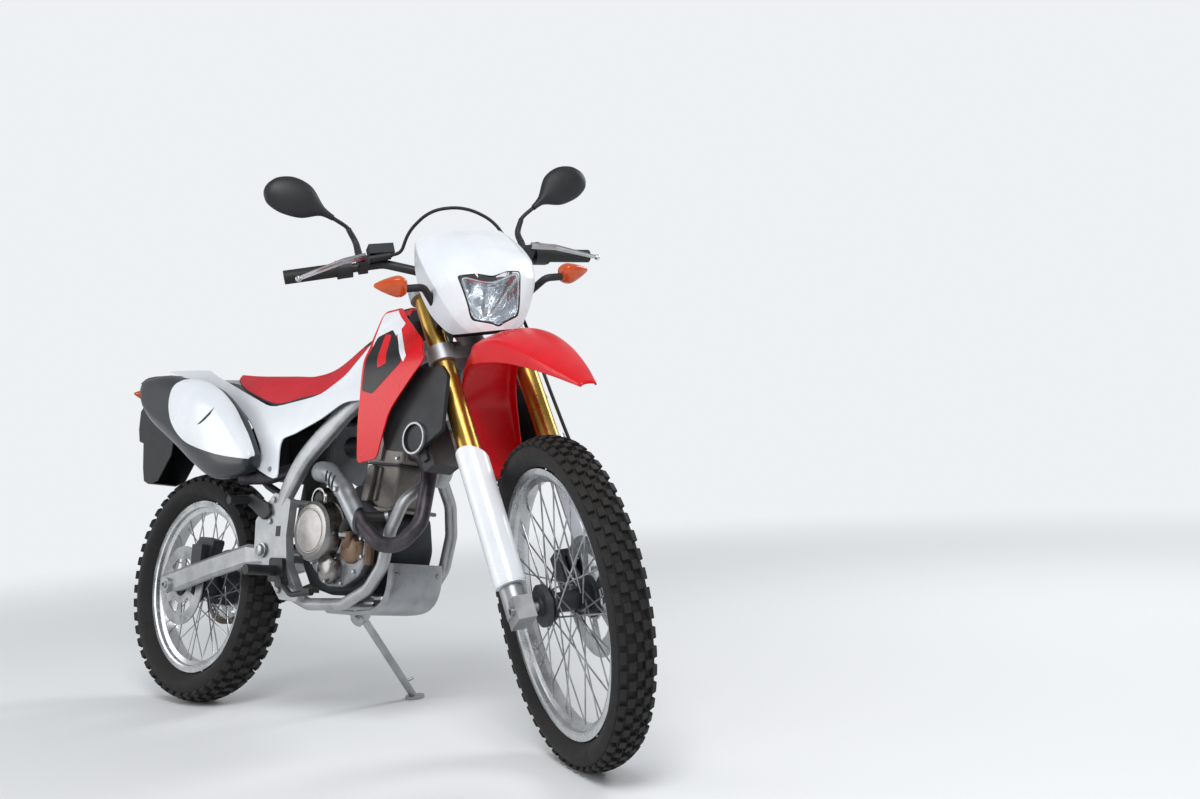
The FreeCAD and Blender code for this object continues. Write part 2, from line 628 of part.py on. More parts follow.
def cowl_band(inset, overhang=0):
    """A ruled skin through the cowl's rows, moved inwards; open at the back."""
    sections = []
    for along, half, middle, corner, back in COWL_ROWS:
        if along == COWL_ROWS[0][0]:
            along += overhang
        elif along == COWL_ROWS[-1][0]:
            along -= overhang
        half -= inset
        middle -= inset
        corner -= inset
        points = [(back, -half), (corner - 22, -half), (corner, -half * 0.78), (middle, -half * 0.3),
                  (middle, half * 0.3), (corner, half * 0.78), (corner - 22, half), (back, half)]
        sections.append(Part.makePolygon([fork(u, y, along) for u, y in points + points[:1]]))
    return loft(sections)


def lens_prism(low, high, scale=1.0):
    middle = sum(z for y, z in LENS_OUTLINE) / len(LENS_OUTLINE)
    points = [fork(low, y * scale, middle + (z - middle) * scale) for y, z in LENS_OUTLINE]
    return Part.Face(Part.makePolygon(points + points[:1])).extrude(AHEAD * (high - low))


def make_headlight():
    wall = size("shellWall")
    stalks = [tube([fork(84, s * 90, 1088), fork(190, s * 146, 1088), fork(190, s * 184.7, 1088)], 8.5, 20)
              for s in (-1, 1)]
    holes = [tube([fork(84, s * 90, 1088), fork(190, s * 146, 1088), fork(190, s * 200, 1088)], 9.5, 20)
             for s in (-1, 1)]
    skin = cowl_band(0).cut(cowl_band(wall, 8)).cut(holes[0]).cut(holes[1])
    keep("headlight_cowl", "steering", skin.cut(lens_prism(100, 300)))
    lens = cowl_band(-1.5).cut(cowl_band(4)).common(lens_prism(120, 300, 0.985))
    keep("headlight_lens", "steering", lens)
    bucket = Part.makeLoft([
        Part.makePolygon([fork(112, y * 0.45, 1045 + (z - 1045) * 0.45) for y, z in LENS_OUTLINE + LENS_OUTLINE[:1]]),
        Part.makePolygon([fork(160, y * 0.9, 1045 + (z - 1045) * 0.86) for y, z in LENS_OUTLINE + LENS_OUTLINE[:1]])],
        True, True)
    keep("headlight_bucket", "steering", bucket)

    bracket = fused([
        block((64, 112), (-66, 66), (1030, 1120)),
        block((57.3, 100), (-100, -66), (1060, 1112)), block((57.3, 100), (66, 100), (1060, 1112)),
        block((70, 112), (-62, 62), (1120, 1200))] + stalks)
    meter = Part.makeBox(46, 140, 84, V(-23, -70, -42))
    meter.Placement = FreeCAD.Placement(fork(88, 0, 1236), FreeCAD.Rotation(V(0, 1, 0), -8))
    keep("lamp_bracket", "steering", fused([bracket, meter]))

    wedge = []
    for side, half_ahead, half_along, ahead in ((-185, 20, 17, 192), (-222, 26, 22, 196), (-249, 9, 9, 186)):
        wedge.append(chamfered(fork(ahead, side, 1104 if side < -185 else 1090), AHEAD, ALONG, half_ahead, half_along))
    keep("front_indicators", "steering", both_sides(loft(wedge)))


# ahead and along of the ridge, half width, how far the sides hang
FENDER_ROWS = [
    (-66, 722, 48, 12), (-78, 800, 58, 20), (-66, 866, 63, 28), (-30, 926, 64, 34), (50, 964, 64, 34),
    (130, 962, 68, 40), (200, 940, 76, 62), (300, 884, 74, 70), (385, 792, 62, 52), (455, 694, 46, 34),
    (512, 604, 20, 10)]


def make_fender():
    """A high fender: an arched skin lofted from behind the wheel, over it and out to the beak."""
    wall = size("shellWall")
    sections = []
    count = len(FENDER_ROWS)
    for i, (ahead, along, half, hang) in enumerate(FENDER_ROWS):
        after = FENDER_ROWS[min(i + 1, count - 1)]
        before = FENDER_ROWS[max(i - 1, 0)]
        run = V(after[0] - before[0], after[1] - before[1], 0)
        run.normalize()
        inward = (run.y, -run.x)
        skin = [(-half, hang), (-half * 0.86, hang * 0.3), (-half * 0.45, hang * 0.06), (0, 0),
                (half * 0.45, hang * 0.06), (half * 0.86, hang * 0.3), (half, hang)]
        lower = [(half - wall, hang), (half * 0.86 - wall * 0.8, hang * 0.3 + wall * 0.7),
                 (half * 0.42, hang * 0.06 + wall), (-half * 0.42, hang * 0.06 + wall),
                 (-half * 0.86 + wall * 0.8, hang * 0.3 + wall * 0.7), (-half + wall, hang)]
        points = [fork(ahead + inward[0] * depth, y, along + inward[1] * depth) for y, depth in skin + lower]
        sections.append(Part.makePolygon(points + points[:1]))
    keep("front_fender", "steering", loft(sections))


# ahead, side, along of the front brake hose, from the master cylinder over the bar to the caliper
HOSE_ROUTE = [
    (33.1, -146, 1300.7), (38, -120, 1304), (74, -100, 1338), (122, -50, 1360), (142, 30, 1350),
    (132, 100, 1304), (110, 122, 1236), (66, 107, 1146), (62, 118, 1050), (64, 122, 850), (62, 127, 740),
    (42, 143, 650), (2, 130, 560), (-16, 82, 498.3)]


def make_front_brake():
    disc_half = size("discThickness") / 2
    side = size("frontDiscSide")
    gap = disc_half + 5
    centre = (AXLE_AHEAD - 80, AXLE_ALONG + 96)
    body = block((centre[0] - 24, centre[0] + 22), (side - 22, side + 20), (centre[1] - 40, centre[1] + 42))
    slot = rod(FRONT_AXLE + SIDE * (side - gap), FRONT_AXLE + SIDE * (side + gap), size("frontDiscRadius") + 6)
    seat = size("forkAhead") - size("forkSliderRadius") - size("seatGap")
    bracket = block((centre[0] + 10, seat), (side + gap + 1, size("forkHalfSpan") + 5),
                    (centre[1] - 30, centre[1] + 10))
    keep("front_caliper", "steering", fused([body, bracket]).cut(slot))
    route = [fork(*row) for row in HOSE_ROUTE]
    keep("brake_hose", "steering", tube(route, 4, size("hoseBend")))
    print("brake hose bends in mm", [round(edge.Curve.Radius) for edge in rounded(route, size("hoseBend")).Edges
                                    if hasattr(edge.Curve, "Radius")])


# Frame: what stays still when the wheels and the steering turn

# x, y, z of the right spar from the head to the swingarm pivot
SPAR_ROWS = [(1016, -24, 938), (940, -66, 898), (860, -88, 852), (768, -104, 790), (690, -110, 730),
             (612, -118, 664), (548, -118, 586)]
# x, y, z of the right lower rail from the downtube to the pivot plate
RAIL_ROWS = [(974, -16, 612), (948, -74, 552), (934, -95, 482), (916, -95, 400), (870, -95, 345),
             (780, -95, 306), (640, -95, 300), (560, -95, 322)]
DOWNTUBE_ROWS = [(1030, 0, 938, 46, 50), (1022, 0, 868, 46, 54), (1018, 0, 790, 46, 58), (1003, 0, 701, 50, 58),
                 (984, 0, 630, 56, 54), (968, 0, 596, 40, 40)]
PIVOT_OUTLINE = [(500, 575), (572, 556), (566, 465), (578, 400), (640, 322), (632, 304), (560, 308), (500, 365),
                 (474, 398), (431, 410), (424, 504), (462, 541)]


# x, y, z of the right seat rail and of the strut below it
UPPER_RAIL_ROWS = [(700, -100, 756), (600, -84, 786), (440, -84, 788.5), (120, -76, 842), (-160, -62, 905)]
STRUT_ROWS = [(520, -100, 560), (400, -88, 600), (300, -84, 680), (60, -74, 842)]


def make_frame():
    half = size("headTubeRadius")
    low = size("lowerClampBottom") + size("clampHeight") + size("runningGap")
    high = size("upperClampBottom") - size("runningGap")
    bore = size("steererRadius") + size("runningGap")
    head = rod(fork(0, 0, low), fork(0, 0, high), half)
    hollow = rod(fork(0, 0, low - 20), fork(0, 0, high + 20), bore)
    spar = beam(SPAR_ROWS, size("sparWidth"), size("sparHeight"))
    bridge = rod(V(798.1, -100, 827.3), V(798.1, 100, 827.3), 14)
    downtube = beam(DOWNTUBE_ROWS, 50, 60)
    keep("frame_spars", "frame", fused([head, spar, mirrored(spar), bridge, downtube]).cut(hollow))

    radius = size("railRadius")
    rail = tube([V(*row) for row in RAIL_ROWS], radius, 60)
    cross = rod(V(660, -95, 301), V(660, 95, 301), 12)
    keep("frame_cradle", "frame", fused([rail, mirrored(rail), cross]).cut(downtube))

    outer, inner = -128, -106
    plate = prism(PIVOT_OUTLINE, outer, inner, 8)
    pivot = size("armPivotX"), size("armPivotZ")
    bolt = rod(V(pivot[0], -134, pivot[1]), V(pivot[0], 134, pivot[1]), size("pivotBoltRadius"))
    plates = fused([plate, mirrored(plate), bolt])
    rails = fused([rail, mirrored(rail), spar, mirrored(spar)])
    spread = rod(V(562, -108, 548), V(562, 108, 548), 10)
    keep("pivot_plates", "frame", fused([plates, spread]).cut(rails))

    upper = tube([V(*row) for row in UPPER_RAIL_ROWS], 11, 90)
    lower = tube([V(*row) for row in STRUT_ROWS], 10, 90)
    hoop = rod(V(-120, -64, 896), V(-120, 64, 896), 9)
    tie = rod(V(380, -84, 780), V(380, 84, 780), 9)
    shock_tie = rod(V(524, -84, 781), V(524, 84, 781), 9)
    boss = rod(V(440, -84, 788), V(440, -127.9, 788), 6)
    hanger = rod(V(150, -72, 788), V(150, -130, 800), 8).cut(muffler_body(size("seatGap")))
    sub = fused([upper, mirrored(upper), lower, mirrored(lower), hoop, tie, shock_tie, boss, mirrored(boss), hanger])
    keep("subframe", "frame", sub.cut(fused([plate, mirrored(plate), spar, mirrored(spar)])))


def make_engine():
    half = size("crankcaseHalf")
    cases = prism([(560, 470), (600, 520), (700, 545), (800, 560), (880, 520), (896, 440), (880, 376), (820, 334),
                   (700, 324), (610, 340), (566, 400)], -half, half, 18)
    barrel = prism([(772, 540), (888, 530), (918, 640), (800, 650)], -62, 62, 6)
    head = prism([(790, 648), (930, 640), (948, 720), (930, 762), (840, 770), (800, 730)], -72, 72, 12)
    fins = []
    for number in range(6):
        rise = 548 + 15 * number
        shift = 4 * number
        fins.append(prism([(764 + shift, rise), (902 + shift, rise - 2), (903 + shift, rise + 4),
                           (765 + shift, rise + 6)], -74, 74))
    starter = rod(V(740, -40, 566), V(740, 44, 566), 30)
    intake = rod(V(640, 0, 700), V(810, 0, 700), 28)
    chain_room = prism([(500, 350), (500, 500), (616, 500), (616, 350)], 62, 90)
    sprocket = V(size("frontSprocketX"), 0, size("frontSprocketZ"))
    side, hub = size("sprocketSide"), size("frontSprocketRadius") - size("chainHalfTall") - size("seatGap")
    drive = [rod(sprocket + SIDE * 56, sprocket + SIDE * (side + 12), hub),
             rod(sprocket + SIDE * (side - 3), sprocket + SIDE * (side + 3), hub + 8)]
    block = fused([cases, barrel, head] + fins + [starter, intake]).cut(chain_room)
    keep("engine", "frame", fused([block] + drive))

    clutch = Part.makeCylinder(84, 34, V(703, -half, 470), V(0, -1, 0))
    dome = Part.makeCylinder(74, 78, V(703, -half, 477), V(0, -1, 0))
    dome = dome.makeFillet(16, [e for e in dome.Edges if abs(e.BoundBox.YMin + half + 78) < 1 and e.isClosed() and
                                e.BoundBox.YLength < 1])
    filter_cap = Part.makeCylinder(35, 56, V(752, -half, 386), V(0, -1, 0))
    filter_cap = filter_cap.makeFillet(8, [e for e in filter_cap.Edges if abs(e.BoundBox.YMin + half + 56) < 1 and
                                           e.isClosed() and e.BoundBox.YLength < 1])
    pump = Part.makeCylinder(32, 40, V(822, -half, 430), V(0, -1, 0))
    alternator = Part.makeCylinder(82, 52, V(740, half, 440), V(0, 1, 0))
    alternator = alternator.makeFillet(12, [e for e in alternator.Edges if abs(e.BoundBox.YMin - half - 52) < 1 and
                                            e.isClosed() and e.BoundBox.YLength < 1])
    chain_cover = prism([(520, 400), (540, 470), (600, 490), (690, 470), (690, 390), (560, 370)], 89, 104, 14)
    keep("engine_covers", "frame", Part.makeCompound([
        fused([clutch, dome, filter_cap, pump]), fused([alternator, chain_cover])]))


# x, y, z of the exhaust from the port, round the front of the right rail, and back to the muffler
HEADER_ROUTE = [
    (936.7, -42, 667.9), (966, -42, 661.3), (1018, -58, 620), (1028, -84, 500), (1000, -118, 448), (955, -138, 446),
    (900, -150, 492), (836, -152, 566), (770, -150, 614), (712, -142, 622), (654, -84, 618), (590, -70, 640),
    (520, -82, 640), (450, -116, 616), (385, -158, 612)]
# along the muffler, centre above its line, half height, half width
MUFFLER_ROWS = [(-10, 16, 16, 16), (0, 12, 30, 24), (60, 5, 67, 36), (130, 3, 95, 44), (230, 9, 105, 48),
                (320, 8, 100, 48), (400, -1, 89, 48), (500, -14, 74, 44), (570, -23, 49, 38), (612, -21, 25, 28)]
MUFFLER_START = V(440, -172, 640)
MUFFLER_RUN = V(-0.901, 0, 0.434)
MUFFLER_UP = V(0.434, 0, 0.901)
# the white cover, (along, above) the muffler's line
COVER_OUTLINE = [(-26, 44), (62, 76), (157, 111), (237, 121), (308, 117), (382, 96), (412, 58), (392, 8),
                 (356, -25), (311, -42), (250, -46), (164, -30), (72, -7), (-31, 30)]


def muffler_body(grow):
    sections = []
    for along, above, tall, wide in MUFFLER_ROWS:
        spot = MUFFLER_START + MUFFLER_RUN * along + MUFFLER_UP * above
        sections.append(chamfered(spot, SIDE, MUFFLER_UP, wide + grow, tall + grow, 0.32))
    return loft(sections)


def make_exhaust():
    header = tube([V(*row) for row in HEADER_ROUTE], size("headerRadius"), 60)
    body = muffler_body(0)
    keep("exhaust_pipe", "frame", header.cut(muffler_body(size("seatGap"))))
    keep("muffler", "frame", body)
    cover_wire = rounded([MUFFLER_START + MUFFLER_RUN * a + MUFFLER_UP * u + SIDE * 20 for a, u in COVER_OUTLINE],
                         24, closed=True)
    window = Part.Face(cover_wire).extrude(V(0, -120, 0))
    keep("muffler_cover", "frame", muffler_body(4).cut(muffler_body(size("seatGap"))).common(window))

    shield_path = [V(*row) for row in HEADER_ROUTE[5:11]]
    skin = tube(shield_path, 26, 60, 23.5)
    collar = tube(shield_path, 24, 60, size("headerRadius") + size("seatGap"))
    window = prism([(896, 470), (896, 560), (800, 680), (690, 680), (690, 590), (760, 570), (850, 500)], -200, -150)
    ends = [prism([(896, 470), (896, 520), (876, 540), (856, 500)], -200, -150),
            prism([(706, 680), (690, 680), (690, 590), (706, 590)], -200, -150)]
    keep("heat_shield", "frame", fused([skin.common(window)] + [collar.common(end) for end in ends]))


def make_radiators():
    """A core on each side behind the fork's sweep, and the moulded cover outside it."""
    core = block((-122, -86), (-146, -70), (752, 948))
    cover = prism([(1112, 843), (1150, 845), (1172, 820), (1166, 700), (1084, 650), (975, 662), (940, 760),
                   (1000, 850)], -160, -150, 10)
    rim_ring = ring(V(1078, -166, 684), V(1078, -160, 684), 36, 31)
    post = rod(V(1002, -158, 812), V(1002, -181, 812), 8)
    bracket = block((-142, -112), (-74, -24.4), (872, 896))
    right = fused([core, cover, rim_ring, block((-112, -96), (-152, -140), (770, 930)), post, bracket])
    keep("radiators", "frame", both_sides(right))


# x, bottom height, bottom half width, top height, top half width
TANK_ROWS = [(700, 790, 66, 838, 60), (745, 808, 82, 862, 72), (800, 846, 76, 922, 70), (845, 880, 70, 982, 62),
             (882, 906, 64, 1006, 50), (890, 910, 62, 1030, 58), (945, 938, 48, 1030, 52)]
SEAT_ROWS = [(165, 905, 62, 926, 50), (320, 842, 112, 905, 84), (456, 800, 125, 894, 90), (570, 809, 125, 885, 90),
             (656, 818, 122, 902, 80), (745, 866, 106, 957, 66), (800, 925, 86, 986, 56), (845, 985, 64, 1029, 48),
             (880, 1010, 50, 1037, 40)]


def padded_sections(rows, crown):
    """A closed hull through rows, its top rounded over in five facets."""
    sections = []
    for x, low, low_half, high, high_half in rows:
        rise = high - low
        points = [(-low_half, low), (-low_half, low + rise * 0.25), (-high_half - (low_half - high_half) * 0.3,
                  low + rise * 0.62), (-high_half * 0.72, high - crown * 0.2), (0, high),
                  (high_half * 0.72, high - crown * 0.2), (high_half + (low_half - high_half) * 0.3, low + rise * 0.62),
                  (low_half, low + rise * 0.25), (low_half, low)]
        sections.append(Part.makePolygon([V(x, y, z) for y, z in points + points[:1]]))
    return loft(sections)


def side_band(profile, thickness, start, end):
    """A vertical skin of (height, distance from the middle) pairs, running along X on the right side."""
    outer = [V(start, -y, z) for z, y in profile]
    inner = [V(start, thickness - y, z) for z, y in profile[::-1]]
    face = Part.Face(Part.makePolygon(outer + inner + outer[:1]))
    return face.extrude(V(end - start, 0, 0))


PANEL_OUTLINE = [(-200, 958), (60, 938), (97, 921), (326, 841), (456, 797), (656, 816), (739, 862), (792, 923),
                 (836, 993), (852, 1004), (885, 915), (892, 790), (768, 793), (686, 753), (583, 721), (534, 712),
                 (524, 690), (528, 600), (356, 665), (169, 827), (-60, 925)]
PANEL_PROFILE = [(1015, 74), (960, 84), (921, 98), (841, 120), (799, 131), (720, 142), (590, 144)]
SHROUD_OUTLINE = [(866, 1011), (922, 1015), (957, 990), (1085, 907), (1119, 858), (1013, 748), (962, 642),
                  (890, 632), (903, 781), (896, 900)]
SHROUD_PROFILE = [(1020, 96), (1010, 104), (985, 122), (909, 164), (858, 184), (748, 187), (642, 174), (625, 170)]


def make_bodywork():
    keep("fuel_tank", "frame", padded_sections(TANK_ROWS, 30))
    keep("seat", "frame", padded_sections(SEAT_ROWS, 30))
    wall = size("shellWall")
    panel = side_band(PANEL_PROFILE, wall, -260, 900).common(prism(PANEL_OUTLINE, -160, -60, 6))
    right = max(panel.cut(muffler_body(5)).Solids, key=lambda solid: solid.Volume)
    keep("side_panels", "frame", Part.makeCompound([right, mirrored(panel)]))
    shroud = side_band(SHROUD_PROFILE, wall, 860, 1130).common(prism(SHROUD_OUTLINE, -200, -80, 6))
    keep("shrouds", "frame", both_sides(shroud))
    airbox = prism([(262, 700), (256, 770.6), (430, 770.6), (448, 660), (400, 610), (300, 640)], -60, 60, 16)
    keep("airbox", "frame", airbox)


def make_tail():
    rows = [(210, 786, 64, 852, 64), (120, 824, 66, 886, 66), (-40, 866, 74, 930, 74), (-211, 908, 80, 950, 74),
            (-330, 926, 74, 958, 62), (-396, 938, 62, 962, 48)]
    sections = []
    for x, low, low_half, high, high_half in rows:
        points = [(-low_half, low), (-high_half, high - 8), (-high_half + 12, high), (high_half - 12, high),
                  (high_half, high - 8), (low_half, low), (low_half - 14, low + 5), (14 - low_half, low + 5)]
        sections.append(Part.makePolygon([V(x, y, z) for y, z in points + points[:1]]))
    hull = loft(sections)
    rails = [tube([V(*row) for row in UPPER_RAIL_ROWS], 11.3, 90), tube([V(*row) for row in STRUT_ROWS], 10.3, 90)]
    room = fused(rails + [mirrored(rail) for rail in rails] + [rod(V(-120, -70, 896), V(-120, 70, 896), 9.3)])
    keep("rear_fender", "frame", hull.cut(room))
    half = size("plateHolderHalf")
    flap = prism([(-300, 930), (-350, 905), (-408, 852), (-408, 796), (-396, 757), (-370, 750), (-356, 672),
                  (-342, 632), (-313, 622), (-258, 632), (-196, 706), (-186, 800), (-205, 905)], -half, half)
    wall = size("shellWall")
    inside = prism([(-290, 915), (-345, 890), (-398, 844), (-398, 800), (-386, 764), (-360, 757), (-347, 676),
                    (-335, 640), (-313, 634), (-266, 600), (-150, 600), (-150, 915)], wall - half, half - wall)
    flap = flap.cut(inside).cut(hull)
    for s in (-1, 1):
        spot = V(-420, s * size("plateHoleSpan") / 2, 824)
        flap = flap.cut(rod(spot, spot + V(60, 0, 0), size("plateHoleRadius")))
    keep("plate_holder", "frame", flap)
    lamp = prism([(-392, 942), (-404, 926), (-392, 896), (-372, 884), (-340, 926), (-352, 936)], -46, 46, 4)
    lens = []
    for side, half_x, half_z in ((-112, 14, 14), (-132, 18, 16), (-156, 8, 8)):
        lens.append(chamfered(V(-232, side, 880), V(1, 0, 0), V(0, 0, 1), half_x, half_z))
    stalk = rod(V(-232, -half - size("seatGap"), 880), V(-232, -112, 880), 8).cut(hull)
    keep("rear_lights", "frame", Part.makeCompound([lamp.cut(hull).cut(flap), fused([loft(lens), stalk]),
                                                    mirrored(fused([loft(lens), stalk]))]))


def make_chain():
    """Two plates round both sprockets, the outer one scalloped at every pin, tied by pins on the open runs."""
    side, pitch, plate_half = size("sprocketSide"), size("chainPitch"), size("chainHalfTall")
    rear_radius = pitch / (2 * math.sin(math.pi / size("sprocketTeeth")))
    front_radius = size("frontSprocketRadius")
    rear, front = V(0, 0, REAR_AXLE.z), V(size("frontSprocketX"), 0, size("frontSprocketZ"))
    distance = (front - rear).Length
    tilt = math.atan2(front.z - rear.z, front.x - rear.x)
    splay = math.asin((rear_radius - front_radius) / distance)
    up, down = tilt + math.pi / 2 - splay, tilt - math.pi / 2 + splay
    spoke = lambda centre, radius, angle: centre + V(radius * math.cos(angle), 0, radius * math.sin(angle))
    straight = distance * math.cos(splay)
    stretches = [rear_radius * (math.pi + 2 * splay), straight, front_radius * (math.pi - 2 * splay), straight]
    links = 2 * round(sum(stretches) / pitch / 2)

    def on_chain(share, grow):
        """A point beside the pitch line, from the top of the rear sprocket back and round."""
        run = share * sum(stretches)
        for number, stretch in enumerate(stretches):
            if run <= stretch:
                break
            run -= stretch
        if number == 0:
            return spoke(rear, rear_radius + grow, up + run / rear_radius)
        if number == 2:
            return spoke(front, front_radius + grow, down + run / front_radius)
        angle = down if number == 1 else up
        ends = [spoke(rear, rear_radius + grow, angle), spoke(front, front_radius + grow, angle)]
        start, finish = ends if number == 1 else ends[::-1]
        return start + (finish - start) * (run / stretch)

    def smooth(grow):
        big, small = rear_radius + grow, front_radius + grow
        return Part.Wire([
            Part.Arc(spoke(rear, big, up), spoke(rear, big, tilt + math.pi), spoke(rear, big, down)).toShape(),
            Part.LineSegment(spoke(rear, big, down), spoke(front, small, down)).toShape(),
            Part.Arc(spoke(front, small, down), spoke(front, small, tilt), spoke(front, small, up)).toShape(),
            Part.LineSegment(spoke(front, small, up), spoke(rear, big, up)).toShape()])

    scallops = [on_chain(k / (2 * links), plate_half - (2 if k % 2 else 0)) for k in range(2 * links)]
    scalloped = Part.makePolygon(scallops + scallops[:1])
    solids = []
    for wire, low, high in ((scalloped, side + 8, side + 11), (smooth(plate_half), side - 11, side - 8)):
        plate = Part.Face(wire).extrude(V(0, high - low, 0)).translate(V(0, low, 0))
        inside = Part.Face(smooth(-plate_half)).extrude(V(0, high - low + 2, 0)).translate(V(0, low - 1, 0))
        solids.append(plate.cut(inside))
    for number in (1, 3):
        begin = sum(stretches[:number])
        for k in range(1, 4):
            spot = on_chain((begin + stretches[number] * k / 4) / sum(stretches), 0)
            solids.append(Part.makeBox(6, 18, 6, spot + V(-3, side - 9, -3)))
    keep("chain", "frame", fused(solids))


def make_swingarm():
    half = size("armHalfSpan")
    pivot = V(size("armPivotX"), -half + 12, size("armPivotZ"))
    width = size("armWidth")
    arm = beam([(pivot.x - 14, 10 - half, 420, 24, 36), (418, 10 - half, 416, 24, 46), (372, -half, 416, width, 56),
                (200, -half, 380, width, 56), (40, -half - 1, 341, width, 60), (-46, -half - 1, 327, width, 50)],
               width, 56)
    boss = rod(V(pivot.x, -104, pivot.z), V(pivot.x, -88.5, pivot.z), 26)
    brace = prism([(352, 384), (352, 428), (410, 434), (444, 430), (444, 396), (400, 380)], -half + 4, half - 4, 8)
    axle = rod(REAR_AXLE - SIDE * (half + 32), REAR_AXLE + SIDE * (half + 32), size("rearAxleRadius"))
    hole = rod(REAR_AXLE - SIDE * (half + 50), REAR_AXLE + SIDE * (half + 50), size("axleBore"))
    nut = rod(REAR_AXLE - SIDE * (half + 26), REAR_AXLE - SIDE * (half + 10), 19)
    pin = rod(V(pivot.x, -140, pivot.z), V(pivot.x, 140, pivot.z), size("pivotBoltRadius"))
    keep("swingarm", "frame", fused([arm, mirrored(arm), boss, mirrored(boss), brace, axle, nut, mirrored(nut)])
         .cut(hole).cut(pin))

    spring = rod(V(462.2, 0, 464.7), V(522.2, 0, 771.9), 30)
    keep("shock", "frame", spring)

    disc_side = -size("rearDiscSide")
    gap = size("discThickness") / 2 + 5
    body = prism([(70, 392), (150, 400), (168, 452), (96, 462), (60, 430)], disc_side - 12, disc_side + 22, 8)
    tongue = prism([(90, 383.8), (140, 395.5), (140, 440), (90, 440)], -half - 6, disc_side - 6)
    body = fused([body, tongue])
    slot = rod(REAR_AXLE + SIDE * (disc_side - gap), REAR_AXLE + SIDE * (disc_side + gap), size("rearDiscRadius") + 6)
    keep("rear_caliper", "frame", body.cut(slot))


def make_controls_and_stand():
    peg = rod(V(545, -132, 378), V(545, -222, 378), 13)
    hanger = prism([(520, 350), (520, 410), (575, 410), (590, 350)], -140, -128 - size("seatGap"), 8)
    pedal = tube([V(580, -142, 350), V(640, -150, 322), V(730, -154, 330)], 7, 40)
    pad = Part.makeBox(34, 30, 10, V(716, -176, 330))
    pedal_pivot = rod(V(580, -128 - size("seatGap"), 350), V(580, -150, 350), 14)
    brake = fused([pedal, pad, pedal_pivot])
    shifter = tube([V(640, 128, 350), V(700, 150, 346), V(770, 156, 352)], 6, 30)
    toe = rod(V(770, 142, 352), V(770, 184, 352), 10)
    knuckle = rod(V(640, size("crankcaseHalf") + size("seatGap"), 350), V(640, 140, 350), 12)
    hanger_rear = prism([(500, 520), (490, 545), (410, 572), (376, 562), (400, 542), (470, 505)],
                        -138, -128 - size("seatGap"), 6)
    rest = rod(V(392, -132, 558), V(392, -192, 552), 11)
    passenger = fused([hanger_rear, rest])
    keep("foot_controls", "frame", Part.makeCompound([
        fused([peg, hanger]).fuse(brake), fused([mirrored(peg), mirrored(hanger)]), fused([shifter, toe, knuckle]),
        passenger, mirrored(passenger)]))

    guard_outline = [(1004, 500), (1000, 452), (944, 330), (880, 268), (700, 262), (700, 258), (884, 262),
                     (950, 322), (1006, 446), (1010, 500)]
    plate = prism(guard_outline, -62, 62)
    wings = []
    for s in (-1, 1):
        wings.append(prism([(950, 440), (912, 398), (868, 346), (780, 306), (700, 302), (700, 260), (880, 264),
                            (948, 328), (985, 440)], min(s * 62, s * 79.7), max(s * 62, s * 79.7)))
    keep("skid_plate", "frame", fused([plate] + wings))


def make_side_stand():
    """The stand leg, its pivot eye on the left rail and a flat foot level with the ground."""
    pivot = V(size("standPivotX"), size("standPivotY"), size("standPivotZ"))
    foot = stand_foot()
    eye = rod(pivot - STAND_AXIS * 11, pivot + STAND_AXIS * 11, 20)
    leg = rod(pivot, foot + (pivot - foot).normalize() * 10, size("standRadius"))
    shoe = Part.makeCylinder(26, 8, V(0, 0, 0), V(0, 0, 1))
    shoe.Placement = FreeCAD.Placement(foot, FreeCAD.Rotation(V(1, 0, 0), size("leanAngle")))
    spur = rod(foot + (pivot - foot).normalize() * 60, foot + (pivot - foot).normalize() * 60 + V(-6, 34, 8), 4)
    keep("side_stand", "side_stand", fused([eye, leg, shoe, spur]))
    plate = rod(pivot - STAND_AXIS * 11.3, pivot - STAND_AXIS * 24, 18)
    start = pivot - STAND_AXIS * 20
    arm = rod(start, start - STAND_RUN * 46, 8)
    gusset = rod(start - STAND_RUN * 42, V(pivot.x, size("railHalfSpan"), 319), 9)
    rail = tube([V(row[0], -row[1], row[2]) for row in RAIL_ROWS], size("railRadius"), 60)
    keep("stand_bracket", "frame", fused([plate, arm, gusset]).cut(rail))


# The leg points out and down on the ground, and back along the machine when folded.
STAND_RUN = V(0.0204, 0.670, -0.742).normalize()
STAND_FOLDED = V(-0.998, -0.024, -0.048).normalize()
STAND_AXIS = STAND_RUN.cross(STAND_FOLDED).normalize()


def stand_foot():
    """Where the leg meets the ground: its length from the pivot, out to the side."""
    pivot = V(size("standPivotX"), size("standPivotY"), size("standPivotZ"))
    return pivot + STAND_RUN * size("standLength")


make_front_wheel()
make_rear_wheel()
make_fork()
bar_end, bar_run = make_bar()
perch = make_controls(bar_end, bar_run)
make_mirrors(perch)
make_headlight()
make_fender()
make_front_brake()
make_frame()
make_engine()
make_exhaust()
make_radiators()
make_bodywork()
make_tail()
make_swingarm()
make_chain()
make_controls_and_stand()
make_side_stand()
doc.recompute()

# Poses

steer_turn = FreeCAD.Rotation(ALONG, -size("steerAtRest"))
steer_pose = FreeCAD.Placement(AXIS_FOOT - steer_turn.multVec(AXIS_FOOT), steer_turn)
lean_turn = FreeCAD.Rotation(V(1, 0, 0), -size("leanAngle"))


def lowest(shape):
    return shape.optimalBoundingBox(False, False).ZMin


